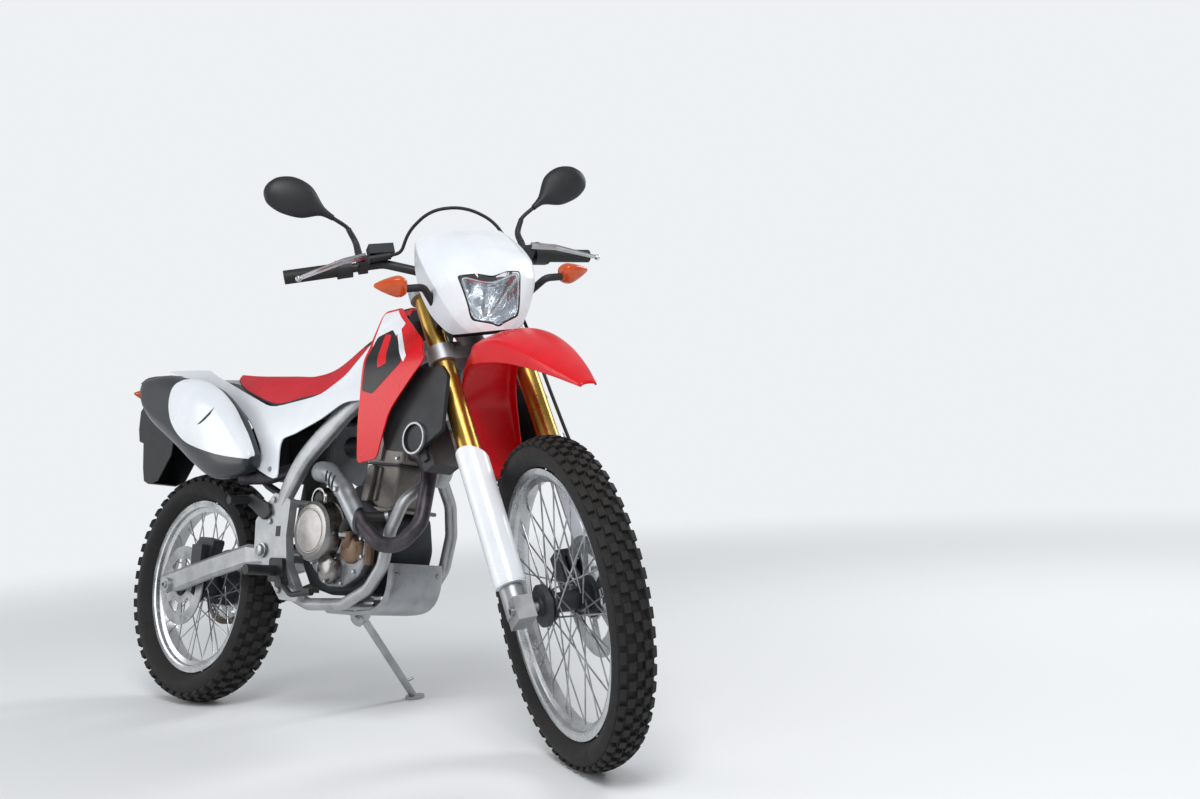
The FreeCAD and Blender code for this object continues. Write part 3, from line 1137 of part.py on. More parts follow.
def settle():
    """Lean the machine, then pitch it so that both tyres stand on the ground."""
    front = doc.getObject("front_tyre").Shape
    rear = doc.getObject("rear_tyre").Shape

    def heights(pitch):
        pose = FreeCAD.Placement(V(0, 0, 0), lean_turn.multiply(FreeCAD.Rotation(V(0, 1, 0), pitch)))
        a, b = front.copy(), rear.copy()
        a.Placement = pose.multiply(steer_pose).multiply(front.Placement)
        b.Placement = pose.multiply(rear.Placement)
        return pose, lowest(a), lowest(b)

    low, high = 0.0, 0.5
    gap = []
    for pitch in (low, high):
        pose, a, b = heights(pitch)
        gap.append(a - b)
    pitch = low + (high - low) * gap[0] / (gap[0] - gap[1])
    pose, a, b = heights(pitch)
    print("pitch %.4f front %.3f rear %.3f" % (pitch, a, b))
    return pose, b


level, ground = settle()
foot_height = level.multVec(stand_foot()).z - ground
print("stand foot above the ground %.3f" % foot_height)

low = V(1e9, 1e9, 1e9)
high = V(-1e9, -1e9, -1e9)
for piece, body in PIECES:
    pose = level.multiply(steer_pose) if body in ("steering", "front_wheel") else level
    piece.Placement = pose.multiply(piece.Placement)
    box = piece.Shape.BoundBox
    low = V(min(low.x, box.XMin), min(low.y, box.YMin), min(low.z, box.ZMin))
    high = V(max(high.x, box.XMax), max(high.y, box.YMax), max(high.z, box.ZMax))
print("box", low, high, high - low)

# Middle of the machine on the ground, from the rear axle: forward and to the left
ORIGIN_FORWARD = 677.5
ORIGIN_LEFT = 195.0
shift = FreeCAD.Placement(V(-ORIGIN_FORWARD, -ORIGIN_LEFT, -ground), FreeCAD.Rotation())
for piece, body in PIECES:
    piece.Placement = shift.multiply(piece.Placement)
doc.recompute()


def report_point(name, spot, direction, steered=False):
    pose = shift.multiply(level.multiply(steer_pose) if steered else level)
    place = pose.multVec(spot)
    way = pose.Rotation.multVec(direction)
    print("%s pos %.5f %.5f %.5f axis %.6f %.6f %.6f" % (
        name, place.x / 1000, place.y / 1000, place.z / 1000, way.x, way.y, way.z))


report_point("steering", fork(0, 0, size("lowerClampBottom")), ALONG)
report_point("front_wheel", FRONT_AXLE, SIDE, True)
report_point("rear_wheel", REAR_AXLE, SIDE)
report_point("side_stand", V(size("standPivotX"), size("standPivotY"), size("standPivotZ")), STAND_AXIS)
report_point("front_axle_bore", FRONT_AXLE - SIDE * (size("forkHalfSpan") + 27), SIDE * -1, True)
report_point("rear_axle_bore", REAR_AXLE - SIDE * (size("armHalfSpan") + 32), SIDE * -1)
report_point("stand_foot", stand_foot(), V(0, 0, -1))
for s in (-1, 1):
    report_point("plate_hole", V(-403, s * size("plateHoleSpan") / 2, 824), V(-1, 0, 0))

for item in doc.Objects:
    if "Invalid" in item.State or "Error" in item.State:
        raise RuntimeError("%s failed: %s" % (item.Name, item.State))

os.makedirs("parts", exist_ok=True)
for piece, body in PIECES:
    shape = piece.Shape
    if shape.isNull() or not shape.isValid() or not shape.Solids:
        raise RuntimeError("%s has no valid solid" % piece.Label)
    shape.exportStep("parts/%s.step" % piece.Label)
    print("%-18s %-12s solids %2d volume %.0f" % (piece.Label, body, len(shape.Solids), shape.Volume))
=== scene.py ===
import math
import bmesh
import bpy
import numpy as np
from mathutils import Matrix, Vector


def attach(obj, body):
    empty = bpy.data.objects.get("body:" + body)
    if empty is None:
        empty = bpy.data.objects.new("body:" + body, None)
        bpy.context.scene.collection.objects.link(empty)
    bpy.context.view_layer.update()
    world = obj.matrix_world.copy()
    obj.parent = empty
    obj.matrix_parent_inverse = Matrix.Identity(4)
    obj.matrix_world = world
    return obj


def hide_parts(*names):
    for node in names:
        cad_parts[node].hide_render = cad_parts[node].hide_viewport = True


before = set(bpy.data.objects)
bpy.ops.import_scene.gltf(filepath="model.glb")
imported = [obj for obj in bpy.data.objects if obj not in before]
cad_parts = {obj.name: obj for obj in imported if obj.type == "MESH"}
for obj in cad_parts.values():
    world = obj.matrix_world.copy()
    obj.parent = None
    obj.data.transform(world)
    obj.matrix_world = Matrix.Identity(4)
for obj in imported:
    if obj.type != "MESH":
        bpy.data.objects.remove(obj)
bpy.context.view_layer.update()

# Where things are. The machine's own frame is in mm: X ahead, Y left, Z up,
# from the ground under the rear axle.
machine = {"wheelbase": 1445.0, "rake": 27.6, "trail": 113.0, "lean": -9.86, "pitch": -0.0250,
           "steer": -28.35, "shift": (-677.498, -195.003, 1.331)}
rake = math.radians(machine["rake"])
ahead = np.array([math.cos(rake), 0, math.sin(rake)])
along = np.array([-math.sin(rake), 0, math.cos(rake)])
axisFoot = np.array([machine["wheelbase"] + machine["trail"], 0, 0])
leanTurn = np.array(Matrix.Rotation(math.radians(machine["lean"]), 3, "X")
                    @ Matrix.Rotation(math.radians(machine["pitch"]), 3, "Y"))
steerTurn = np.array(Matrix.Rotation(math.radians(machine["steer"]), 3, Vector(along)))


def placed(points, steered=False):
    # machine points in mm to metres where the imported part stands: steered about the fork's axis, then leaned
    points = np.asarray(points, float)
    if steered:
        points = (points - axisFoot) @ steerTurn.T + axisFoot
    return (points @ leanTurn.T + np.array(machine["shift"])) / 1000


def forkPoints(rows):
    # rows of ahead, side and up the fork, in mm from the steering axis at the ground, as machine points
    rows = np.asarray(rows, float)
    return axisFoot + rows[..., 0:1] * ahead + rows[..., 1:2] * np.array([0, 1.0, 0]) + rows[..., 2:3] * along


def forkPlaced(rows):
    # the same rows in metres, where the steered fork stands
    return placed(forkPoints(rows), True)


def unit(rows):
    # each row over its own length
    return rows / np.linalg.norm(rows, axis=-1, keepdims=True)


def fullTurn(count):
    # equal angles round a circle
    return np.linspace(0, 2 * np.pi, count, endpoint=False)


def squarer(wave, power):
    # a sine or cosine to a power with its sign kept: under 1 nears a box, over 1 a diamond
    return np.sign(wave) * np.abs(wave) ** power


# Materials

def linear(hexColour):
    # sRGB hex to linear: the usual curve, a straight toe and a 2.4 power
    parts = np.array([int(hexColour[i:i + 2], 16) / 255 for i in (1, 3, 5)])
    parts = np.where(parts <= 0.04045, parts / 12.92, ((parts + 0.055) / 1.055) ** 2.4)
    return (*parts, 1.0)


def emptyTree(owner):
    # the node tree of a material or a world, cleared
    owner.use_nodes = True
    owner.node_tree.nodes.clear()
    return owner.node_tree


def addNode(tree, kind, inputs=None, **settings):
    # a shader node with its settings, each of its inputs given a value or linked to another node's socket
    node = tree.nodes.new("ShaderNode" + kind)
    for key, value in settings.items():
        setattr(node, key, value)
    for key, value in (inputs or {}).items():
        if isinstance(value, bpy.types.NodeSocket):
            tree.links.new(value, node.inputs[key])
        else:
            node.inputs[key].default_value = value
    return node


def surface(name, look):
    # One shader: colour drifts between two tones, roughness varies with it, and a fine grain gives the bump,
    # on some with a coarse wave below it. Sizes are in mm and Object coordinates in metres, so a noise's
    # scale is 1000 over the size.
    material = bpy.data.materials.new(name)
    tree = emptyTree(material)
    where = addNode(tree, "TexCoord").outputs["Object"]

    def noise(scale, detail, **more):
        inputs = {"Vector": where, "Scale": scale, "Detail": detail, **more}
        return addNode(tree, "TexNoise", inputs).outputs["Fac"]

    patches = noise(1000 / look.get("patchMm", 60), 4.0, Roughness=0.6)
    tones = addNode(tree, "ValToRGB", {"Fac": patches})
    for stop, place, tone in zip(tones.color_ramp.elements, (0.36, 0.66), look["tones"]):
        stop.position, stop.color = place, linear(tone)
    colour = tones.outputs["Color"]
    if "dust" in look:
        # pale road dust lies where the surface faces up and in the grain's hollows
        dustTone, most = look["dust"]
        normal = addNode(tree, "NewGeometry").outputs["Normal"]
        upward = addNode(tree, "SeparateXYZ", {"Vector": normal}).outputs["Z"]
        settled = addNode(tree, "MapRange", {"Value": upward, "From Min": -0.4, "From Max": 1.0,
                                             "To Min": most * 0.35, "To Max": most})
        share = addNode(tree, "Math", {0: settled.outputs["Result"], 1: noise(90.0, 5.0)},
                        operation="MULTIPLY")
        mix = addNode(tree, "Mix", {0: share.outputs["Value"], 6: colour, 7: linear(dustTone)},
                      data_type="RGBA")
        colour = mix.outputs[2]
    low, high = look["rough"]
    roughness = addNode(tree, "MapRange", {"Value": patches, "From Min": 0.3, "From Max": 0.7,
                                           "To Min": low, "To Max": high})
    bump = addNode(tree, "Bump", {"Strength": look["bump"], "Distance": 0.001,
                                  "Height": noise(1000 / look["grainMm"], 3.0)})
    if "wave" in look:
        waveMm, depth = look["wave"]
        bump = addNode(tree, "Bump", {"Strength": depth, "Distance": 0.002,
                                      "Height": noise(1000 / waveMm, 1.0),
                                      "Normal": bump.outputs["Normal"]})
    shader = addNode(tree, "BsdfPrincipled", {
        "Base Color": colour, "Roughness": roughness.outputs["Result"], "Normal": bump.outputs["Normal"],
        "Metallic": look["metallic"], "Coat Weight": look.get("coat", 0.0), "Coat Roughness": 0.08,
        "Transmission Weight": look.get("clear", 0.0), "Specular IOR Level": look.get("specular", 0.5)})
    if "ior" in look:
        shader.inputs["IOR"].default_value = look["ior"]
    addNode(tree, "OutputMaterial", {"Surface": shader.outputs["BSDF"]})
    return material


def finish(dark, light, low, high, metallic, grainMm, bump, **more):
    # two tones, roughness from low to high, share of metal, size and depth of the grain, and what else it has
    return {"tones": (dark, light), "rough": (low, high), "metallic": metallic, "grainMm": grainMm,
            "bump": bump, **more}


looks = {
    # carbon black tread rubber, ground matt by the road, brown dust in it
    "treadRubber": finish("#0f0f10", "#1b1a1a", 0.72, 0.92, 0.0, 1.2, 0.35, patchMm=35,
                          dust=("#4d443b", 0.2)),
    # moulded grip and hose rubber, softer shine
    "mouldedRubber": finish("#121212", "#1c1c1c", 0.55, 0.7, 0.0, 0.6, 0.15),
    # rolled aluminium rim, clear anodised: pale satin with a long soft highlight
    "rolledAlloy": finish("#b9bbbe", "#d4d6d8", 0.22, 0.34, 0.85, 0.8, 0.04),
    # drawn stainless wire
    "spokeWire": finish("#8d9094", "#b9bcc0", 0.25, 0.4, 1.0, 1.0, 0.03),
    # dark cast aluminium, paint worn where hands and boots go
    "darkCasting": finish("#35373a", "#4a4c50", 0.45, 0.6, 0.6, 1.4, 0.22),
    # ground stainless brake disc
    "discSteel": finish("#a9abad", "#c8cacb", 0.22, 0.36, 1.0, 0.5, 0.06),
    # gold anodised fork tube: satin, a little darker in patches
    "goldAnodised": finish("#a07c38", "#c4a056", 0.24, 0.36, 0.9, 0.7, 0.04, patchMm=110),
    # silver painted and bead blasted aluminium of frame and fork legs
    "silverAlloy": finish("#9a9c9e", "#b4b6b8", 0.36, 0.5, 0.75, 0.9, 0.08),
    # polished alloy of the levers
    "polishedAlloy": finish("#b3b5b7", "#d2d4d6", 0.14, 0.26, 1.0, 1.0, 0.03),
    # black powder coat on tubes and brackets
    "powderBlack": finish("#151617", "#202224", 0.42, 0.56, 0.0, 0.7, 0.14),
    # glossy red ABS, injection moulded, coloured through
    "redAbs": finish("#cc0414", "#da0a1a", 0.24, 0.32, 0.0, 0.9, 0.012, coat=0.08, specular=0.28, patchMm=160,
                     wave=(90, 0.02)),
    # glossy white ABS, faintly blue
    "whiteAbs": finish("#dfe4ea", "#e9edf1", 0.22, 0.3, 0.0, 0.9, 0.012, coat=0.3, patchMm=180,
                       wave=(90, 0.02)),
    # grained black polypropylene
    "grainedBlack": finish("#131416", "#1c1e21", 0.44, 0.6, 0.0, 0.9, 0.2),
    # red seat vinyl with a leather grain and a soft sheen
    "seatVinyl": finish("#c01826", "#cc2432", 0.46, 0.58, 0.0, 1.6, 0.3, specular=0.35, patchMm=90),
    # the seat's dark tone, on its nose and along its lower edge
    "seatDarkTone": finish("#17181a", "#232427", 0.5, 0.62, 0.0, 1.4, 0.3),
    # sand cast engine block, dull black paint
    "engineCasting": finish("#232427", "#33353a", 0.5, 0.66, 0.3, 1.8, 0.3),
    # die cast cover in silver paint
    "coverCasting": finish("#7f8286", "#9da0a4", 0.34, 0.5, 0.8, 1.4, 0.12),
    # stainless header pipe, dulled to charcoal by heat
    "heatedSteel": finish("#3d3a3e", "#565157", 0.34, 0.5, 0.75, 1.0, 0.06, patchMm=45),
    # pressed steel heat shield and skid plate, brushed
    "pressedSteel": finish("#8b8e92", "#a9acb0", 0.3, 0.46, 0.85, 0.7, 0.08),
    # dark blue-black painted muffler shell
    "mufflerPaint": finish("#15181d", "#20242b", 0.3, 0.42, 0.0, 0.8, 0.05, coat=0.2),
    # vacuum metallised reflector
    "reflectorChrome": finish("#c9cdd2", "#e2e5e8", 0.06, 0.14, 1.0, 1.0, 0.02, wave=(9, 0.35)),
    # clear polycarbonate lens
    "clearLens": finish("#f2f5f7", "#ffffff", 0.02, 0.05, 0.0, 1.0, 0.0, clear=1.0, ior=1.58),
    # amber acrylic, moulded with fine flutes
    "amberAcrylic": finish("#b8400a", "#cf5410", 0.12, 0.2, 0.0, 2.5, 0.1, coat=0.4, ior=1.49),
    # red acrylic of the tail lamp
    "redAcrylic": finish("#8a0a10", "#a8121a", 0.1, 0.18, 0.0, 3.0, 0.08, coat=0.4, ior=1.49),
    # black chain steel, oiled
    "oiledChain": finish("#4b4238", "#6a5f52", 0.35, 0.55, 0.9, 0.8, 0.12),
    # printed vinyl film on the shrouds, the black also on the tank
    "blackFilm": finish("#101114", "#17181c", 0.3, 0.38, 0.0, 1.0, 0.01, specular=0.35),
    "redFilm": finish("#cc0414", "#da0a1a", 0.26, 0.34, 0.0, 1.0, 0.01, coat=0.08, specular=0.3),
    "whiteFilm": finish("#e4e8ed", "#edf0f3", 0.24, 0.32, 0.0, 1.0, 0.01, coat=0.25),
    # zinc plated bolts
    "zincPlate": finish("#8f9296", "#b0b3b6", 0.28, 0.42, 1.0, 0.6, 0.06),
    # sand cast cylinder and head, left bare and greyed by weather
    "headCasting": finish("#77736e", "#95918b", 0.46, 0.6, 0.55, 1.8, 0.25),
    # turned and buffed cover, grey, with a painted reflection of the ground: a warm cast in its colour
    "turnedCover": finish("#83817f", "#9b9896", 0.2, 0.3, 1.0, 0.8, 0.04),
    # bronze coloured water pump paint
    "bronzePaint": finish("#6b5546", "#85705e", 0.38, 0.5, 0.7, 1.2, 0.12),
}
materials = {name: surface(name, look) for name, look in looks.items()}
print("materials", len(materials))

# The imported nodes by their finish; some of them are replaced further down
nodeFinish = {
    "treadRubber": "front_tyre rear_tyre",
    "rolledAlloy": "front_rim rear_rim",
    "spokeWire": "front_spokes rear_spokes",
    "darkCasting": "front_hub rear_hub front_caliper rear_caliper",
    "discSteel": "front_disc rear_disc rear_sprocket",
    "silverAlloy": "triple_clamps fork_sliders frame_spars frame_cradle pivot_plates swingarm"
                   " stand_bracket side_stand",
    "goldAnodised": "fork_tubes",
    "whiteAbs": "fork_guards headlight_cowl muffler_cover side_panels",
    "powderBlack": "handlebar subframe shock foot_controls",
    "mouldedRubber": "grips brake_hose",
    "grainedBlack": "hand_controls mirrors lamp_bracket radiators airbox rear_fender plate_holder",
    "polishedAlloy": "levers",
    "clearLens": "headlight_lens",
    "reflectorChrome": "headlight_bucket",
    "amberAcrylic": "front_indicators rear_lights",
    "redAbs": "front_fender shrouds",
    "engineCasting": "engine",
    "coverCasting": "engine_covers",
    "heatedSteel": "exhaust_pipe",
    "mufflerPaint": "muffler",
    "pressedSteel": "heat_shield skid_plate",
    "blackFilm": "fuel_tank",
    "seatVinyl": "seat",
    "oiledChain": "chain",
}
for finishName, nodes in nodeFinish.items():
    for node in nodes.split():
        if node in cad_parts:
            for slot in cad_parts[node].material_slots:
                slot.material = materials[finishName]


# Meshes worked out on grids

def shown(name, data):
    # a new object in the scene
    thing = bpy.data.objects.new(name, data)
    bpy.context.scene.collection.objects.link(thing)
    return thing


def meshOf(name, points, faces):
    # points in metres, and faces as rows of their numbers
    mesh = bpy.data.meshes.new(name)
    points = np.asarray(points).reshape(-1, 3).tolist()
    mesh.from_pydata(points, [], [list(map(int, face)) for face in faces])
    return mesh


def makePiece(name, points, faces, finishName, body="frame", smooth=True, stands=None):
    # a piece with its finish and body; stands is the imported node that it replaces
    mesh = meshOf(name, points, faces)
    mesh.validate()
    if smooth:
        mesh.polygons.foreach_set("use_smooth", np.ones(len(mesh.polygons), bool))
    mesh.update()
    piece = shown(name, mesh)
    mesh.materials.append(materials[finishName])
    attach(piece, body)
    if stands:
        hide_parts(stands)
    return piece


def gridFaces(rows, columns, closeRows=False, closeColumns=False):
    # index quads of a rows by columns grid, each joined to the next row and column
    r = np.arange(rows if closeRows else rows - 1)[:, None]
    c = np.arange(columns if closeColumns else columns - 1)[None, :]
    r2, c2 = (r + 1) % rows, (c + 1) % columns
    corners = (r * columns + c, r * columns + c2, r2 * columns + c2, r2 * columns + c)
    return np.stack(np.broadcast_arrays(*corners), -1).reshape(-1, 4)


def capped(net):
    # a closed tube of rings with flat ends
    rows, columns = net.shape[:2]
    faces = gridFaces(rows, columns, closeColumns=True).tolist()
    first, last = list(range(columns)), list(range((rows - 1) * columns, rows * columns))
    return net.reshape(-1, 3), faces + [first[::-1], last]


def sweep(path, radius, sides):
    # a round tube: at each path point a ring across the run, its start carried along without twist
    path = np.asarray(path, float)
    run = unit(np.gradient(path, axis=0))
    across = np.zeros_like(path)
    side = np.cross(run[0], [0.0, 0.0, 1.0] if abs(run[0][2]) < 0.9 else [0.0, 1.0, 0.0])
    for i in range(len(path)):
        side = unit(side - run[i] * np.dot(side, run[i]))
        across[i] = side
    turn = fullTurn(sides)[None, :, None]
    radius = np.broadcast_to(np.asarray(radius, float), (len(path),))[:, None, None]
    rings = np.cos(turn) * across[:, None] + np.sin(turn) * np.cross(run, across)[:, None]
    points, faces = capped(path[:, None] + radius * rings)
    return points, [face[::-1] for face in faces]


def smoothPath(points, count):
    # a Catmull-Rom curve through the points, sampled evenly in its parameter
    points = np.asarray(points, float)
    padded = np.vstack([2 * points[0] - points[1], points, 2 * points[-1] - points[-2]])
    t = np.linspace(0, len(points) - 1 - 1e-9, count)
    i = t.astype(int)
    f = (t - i)[:, None]
    a, b, c, d = padded[i], padded[i + 1], padded[i + 2], padded[i + 3]
    return 0.5 * (2 * b + (c - a) * f + (2 * a - 5 * b + 4 * c - d) * f ** 2
                  + (3 * b - a - 3 * c + d) * f ** 3)


def merged(parts):
    # several (points, faces) put into one list
    points, faces, count = [], [], 0
    for somePoints, someFaces in parts:
        points.append(np.asarray(somePoints, float).reshape(-1, 3))
        faces += [[int(i) + count for i in face] for face in someFaces]
        count += len(points[-1])
    return np.vstack(points), faces


# Tyres: a carcass like a torus, and rows of tread blocks with softened tops. Each row has the angles between
# which it lies on the crown, the share of the run that its blocks take up, and its shift in blocks.
tyres = {
    "front": {"radius": 347.0, "width": 86.0, "rim": 281.0, "rimWidth": 51.0, "block": 8.5, "count": 58,
              "rows": ((-33, -22, 0.62, 0.0), (-19, -7.5, 0.5, 0.5), (-6, 6, 0.46, 0.0), (7.5, 19, 0.5, 0.5),
                       (22, 33, 0.62, 0.0))},
    "rear": {"radius": 325.0, "width": 120.0, "rim": 243.0, "rimWidth": 65.0, "block": 11.0, "count": 46,
             "rows": ((-36, -26, 0.6, 0.5), (-23, -11, 0.55, 0.0), (-9, 9, 0.42, 0.5), (11, 23, 0.55, 0.0),
                      (26, 36, 0.6, 0.5))},
}


def tyreShape(tyre):
    # carcass: crown arc through the shoulders, then walls down to the bead, turned round the axle
    radius, width = tyre["radius"] - tyre["block"], tyre["width"]
    shoulder = tyre["radius"] - width * 0.17
    crownCentre = (tyre["radius"] ** 2 - width ** 2 / 4 - shoulder ** 2) / (2 * (tyre["radius"] - shoulder))
    crownRadius = tyre["radius"] - crownCentre
    edge = math.asin(width / 2 / crownRadius) - 0.02
    crown = np.linspace(-edge, edge, 15)
    y = (crownRadius - tyre["block"]) * np.sin(crown)
    r = crownCentre + (crownRadius - tyre["block"]) * np.cos(crown)
    wall = np.linspace(0, 1, 8)[1:]
    bead = tyre["rimWidth"] / 2 - 4
    bulge = width / 2 * 0.965
    wallY = y[-1] + (bulge - y[-1]) * np.sin(np.pi * np.minimum(wall, 0.42) / 0.84) \
        + (bead - bulge) * np.clip((wall - 0.42) / 0.58, 0, 1) ** 1.7
    wallR = r[-1] + (tyre["rim"] + 2 - r[-1]) * wall
    profileY = np.concatenate([-wallY[::-1], y, wallY])
    profileR = np.concatenate([wallR[::-1], r, wallR])
    turn = fullTurn(160)
    carcass = np.stack(np.broadcast_arrays(profileR[:, None] * np.cos(turn), profileY[:, None],
                                           profileR[:, None] * np.sin(turn)), -1).reshape(-1, 3)
    faces = gridFaces(len(profileY), len(turn), closeRows=True, closeColumns=True)
    # blocks: base, shoulder and inset top rings of four corners each, laid on the crown
    parts = [(carcass, faces)]
    levels = ((-1.5, 0.0), (tyre["block"] - 1.2, 0.1), (tyre["block"], 0.22))
    for low, high, share, phase in tyre["rows"]:
        low, high = math.radians(low), math.radians(high)
        half = share * np.pi / tyre["count"]
        middle = (np.arange(tyre["count"]) + phase) * 2 * np.pi / tyre["count"]
        corners = []
        for height, inset in levels:
            pull = inset * 0.25
            for p, q in ((0, -1), (1, -1), (1, 1), (0, 1)):
                angle = low + (high - low) * (p * (1 - pull) + (1 - p) * pull)
                spot = middle + q * half * (1 - pull * 1.6)
                level = crownRadius - tyre["block"] + height
                across = np.full_like(spot, level * math.sin(angle))
                out = crownCentre + level * math.cos(angle)
                corners.append(np.stack([out * np.cos(spot), across, out * np.sin(spot)], -1))
        corners = np.stack(corners, 1)
        ring = [[k + j, k + (j + 1) % 4, k + 4 + (j + 1) % 4, k + 4 + j] for k in (0, 4) for j in range(4)]
        ring = np.array(ring + [[8, 9, 10, 11]])[:, ::-1]
        blockFaces = (ring[None] + 12 * np.arange(tyre["count"])[:, None, None]).reshape(-1, 4)
        parts.append((corners.reshape(-1, 3), blockFaces))
    return merged(parts)


for tag, middle, steered in (("front", machine["wheelbase"], True), ("rear", 0.0, False)):
    tyrePoints, tyreFaces = tyreShape(tyres[tag])
    tyrePoints = placed(tyrePoints + np.array([middle, 0, tyres[tag]["radius"]]), steered)
    makePiece(tag + "TyreKnobs", tyrePoints, tyreFaces, "treadRubber", tag + "_wheel", smooth=False,
              stands=tag + "_tyre")
print("tyres")

# Seat: stations along the machine with their lower and upper edge and half widths there, in mm. The top
# turns into the sides and the seam runs at shares of the way down, and the crease is a place along.
seat = {"x": (165, 240, 320, 456, 570, 656, 745, 800, 845, 880),
        "low": (903, 872, 843, 802, 811, 820, 868, 927, 987, 1011),
        "high": (924, 914, 905, 894, 885, 902, 957, 986, 1028, 1036),
        "lowHalf": (58, 88, 108, 121, 121, 118, 102, 83, 61, 47),
        "highHalf": (50, 68, 84, 92, 92, 82, 67, 57, 49, 41),
        "turn": 0.62, "seam": 0.66, "seamWide": 0.018, "seamDeep": 1.8, "crease": 300, "creaseWide": 4.0,
        "creaseDeep": 2.4, "nose": (650, 110, 0.7), "hem": 0.985}


def seatShape(seat):
    # one ring a station, its share running from ridge to lower edge: a quarter sine in width and a power in
    # height over the top, powers down the sides, less narrow bells for seam and crease
    stations = smoothPath(np.stack([seat[key] for key in ("x", "low", "high", "lowHalf", "highHalf")], 1), 90)
    x, low, high, lowHalf, highHalf = [stations[:, i:i + 1] for i in range(5)]
    side = np.linspace(0, 1, 49)[None, :] * 2 - 1
    share = np.abs(side)                                   # 0 at the ridge, 1 at the lower edge
    top = np.clip(share / seat["turn"], 0, 1)
    wall = np.clip((share - seat["turn"]) / (1 - seat["turn"]), 0, 1)
    half = highHalf * np.sin(top * np.pi / 2) ** 0.9 + (lowHalf - highHalf) * wall ** 0.8
    rise = high - low
    z = high - rise * 0.2 * top ** 2.6 - rise * 0.8 * wall ** 1.15
    seam = np.exp(-((share - seat["seam"]) / seat["seamWide"]) ** 2)
    half = half - seat["seamDeep"] * seam
    z = z - 0.8 * seam
    # a sewn line across between rider and passenger, slanting forwards as it goes down
    crease = np.exp(-((x - seat["crease"] - 60 * share ** 1.5) / seat["creaseWide"]) ** 2)
    crease *= seat["creaseDeep"]
    z = z - crease * (1 - wall)
    half = half - crease * wall
    return np.stack([x + 0 * side, np.sign(side) * half, z], -1)


ringPoints = seatShape(seat)
rowsCount, columnsCount = ringPoints.shape[:2]
seatPoints, seatFaces = capped(ringPoints)
seatPiece = makePiece("seatCushion", placed(seatPoints), seatFaces, "seatVinyl", stands="seat")
# the dark tone over the nose, wider from its start over its run, and along the hem at the lower edge
noseStart, noseRun, noseShare = seat["nose"]
seatPiece.data.materials.append(materials["seatDarkTone"])
stationX = np.repeat(ringPoints[:-1, 0, 0], columnsCount)
placeRound = np.tile(np.abs(np.linspace(-1, 1, columnsCount)), rowsCount - 1)
dark = placeRound < noseShare * np.clip((stationX - noseStart) / noseRun, 0, 1)
dark |= placeRound > seat["hem"]
finishIndex = np.zeros(len(seatPiece.data.polygons), np.int32)
finishIndex[:len(dark)] = dark
seatPiece.data.polygons.foreach_set("material_index", finishIndex)
print("seat")

# Bodywork: smooth skins, cut to their outlines

def eased(points, share):
    # every inner point becomes two, a share of the way to its neighbours, so that the curve keeps near it
    inner = points[1:-1]
    pairs = np.stack([inner + (points[:-2] - inner) * share, inner + (points[2:] - inner) * share], 1)
    return np.concatenate([points[:1], pairs.reshape(-1, points.shape[1]), points[-1:]])


def netted(cage, rows, columns, alongShare, roundShare):
    # a cage of stations by places round the section, made smooth along it and then round it
    cage = np.asarray(cage, float)
    places = cage.shape[1]
    stations = smoothPath(eased(cage.reshape(len(cage), -1), alongShare), rows)
    turned = stations.reshape(rows, places, 3).transpose(1, 0, 2).reshape(places, -1)
    return smoothPath(eased(turned, roundShare), columns).reshape(columns, rows, 3).transpose(1, 0, 2)


def slab(net, low, high, closed=False):
    # the skin moved out along its own normals to two levels in mm and closed round the edges
    down, over = np.gradient(net, axis=0), np.gradient(net, axis=1)
    if closed:
        over = np.roll(net, -1, 1) - np.roll(net, 1, 1)
    out = np.cross(down, over)
    out /= np.linalg.norm(out, axis=2)[..., None] + 1e-9
    rows, columns = net.shape[:2]
    count = rows * columns
    points = np.concatenate([(net + out * high).reshape(-1, 3), (net + out * low).reshape(-1, 3)])
    top = gridFaces(rows, columns, closeColumns=closed)
    faces = np.concatenate([top, top[:, ::-1] + count]).tolist()
    index = np.arange(count).reshape(rows, columns)
    rims = [index[0], index[-1][::-1]] if closed else [
        np.concatenate([index[0], index[1:, -1], index[-1, -2::-1], index[-2::-1, 0]])]
    for rim in rims:
        following = np.roll(rim, -1) if closed else rim[1:]
        leading = rim if closed else rim[:-1]
        faces += np.stack([following, leading, leading + count, following + count], 1).tolist()
    return points, faces


def outward(mesh):
    # normals made to agree, doubles merged first
    work = bmesh.new()
    work.from_mesh(mesh)
    bmesh.ops.remove_doubles(work, verts=work.verts, dist=1e-6)
    bmesh.ops.recalc_face_normals(work, faces=work.faces)
    work.to_mesh(mesh)
    work.free()


def settle(piece):
    # the piece's modifiers worked into its mesh, with edges over 35 degrees kept sharp
    mesh = bpy.data.meshes.new_from_object(piece.evaluated_get(bpy.context.evaluated_depsgraph_get()))
    piece.modifiers.clear()
    piece.data = mesh
    mesh.polygons.foreach_set("use_smooth", np.ones(len(mesh.polygons), bool))
    mesh.set_sharp_from_angle(angle=math.radians(35))


def bare(points, faces):
    # an object for cutting only
    mesh = meshOf("cutter", points, faces)
    outward(mesh)
    return shown("cutter", mesh)


def trimmed(piece, tools, operation="INTERSECT"):
    # the piece cut by closed shapes, one after another, and the shapes taken away
    for points, faces in tools:
        tool = bare(points, faces)
        cut = piece.modifiers.new("cut", "BOOLEAN")
        cut.operation, cut.solver, cut.object = operation, "EXACT", tool
        settle(piece)
        bpy.data.objects.remove(tool)


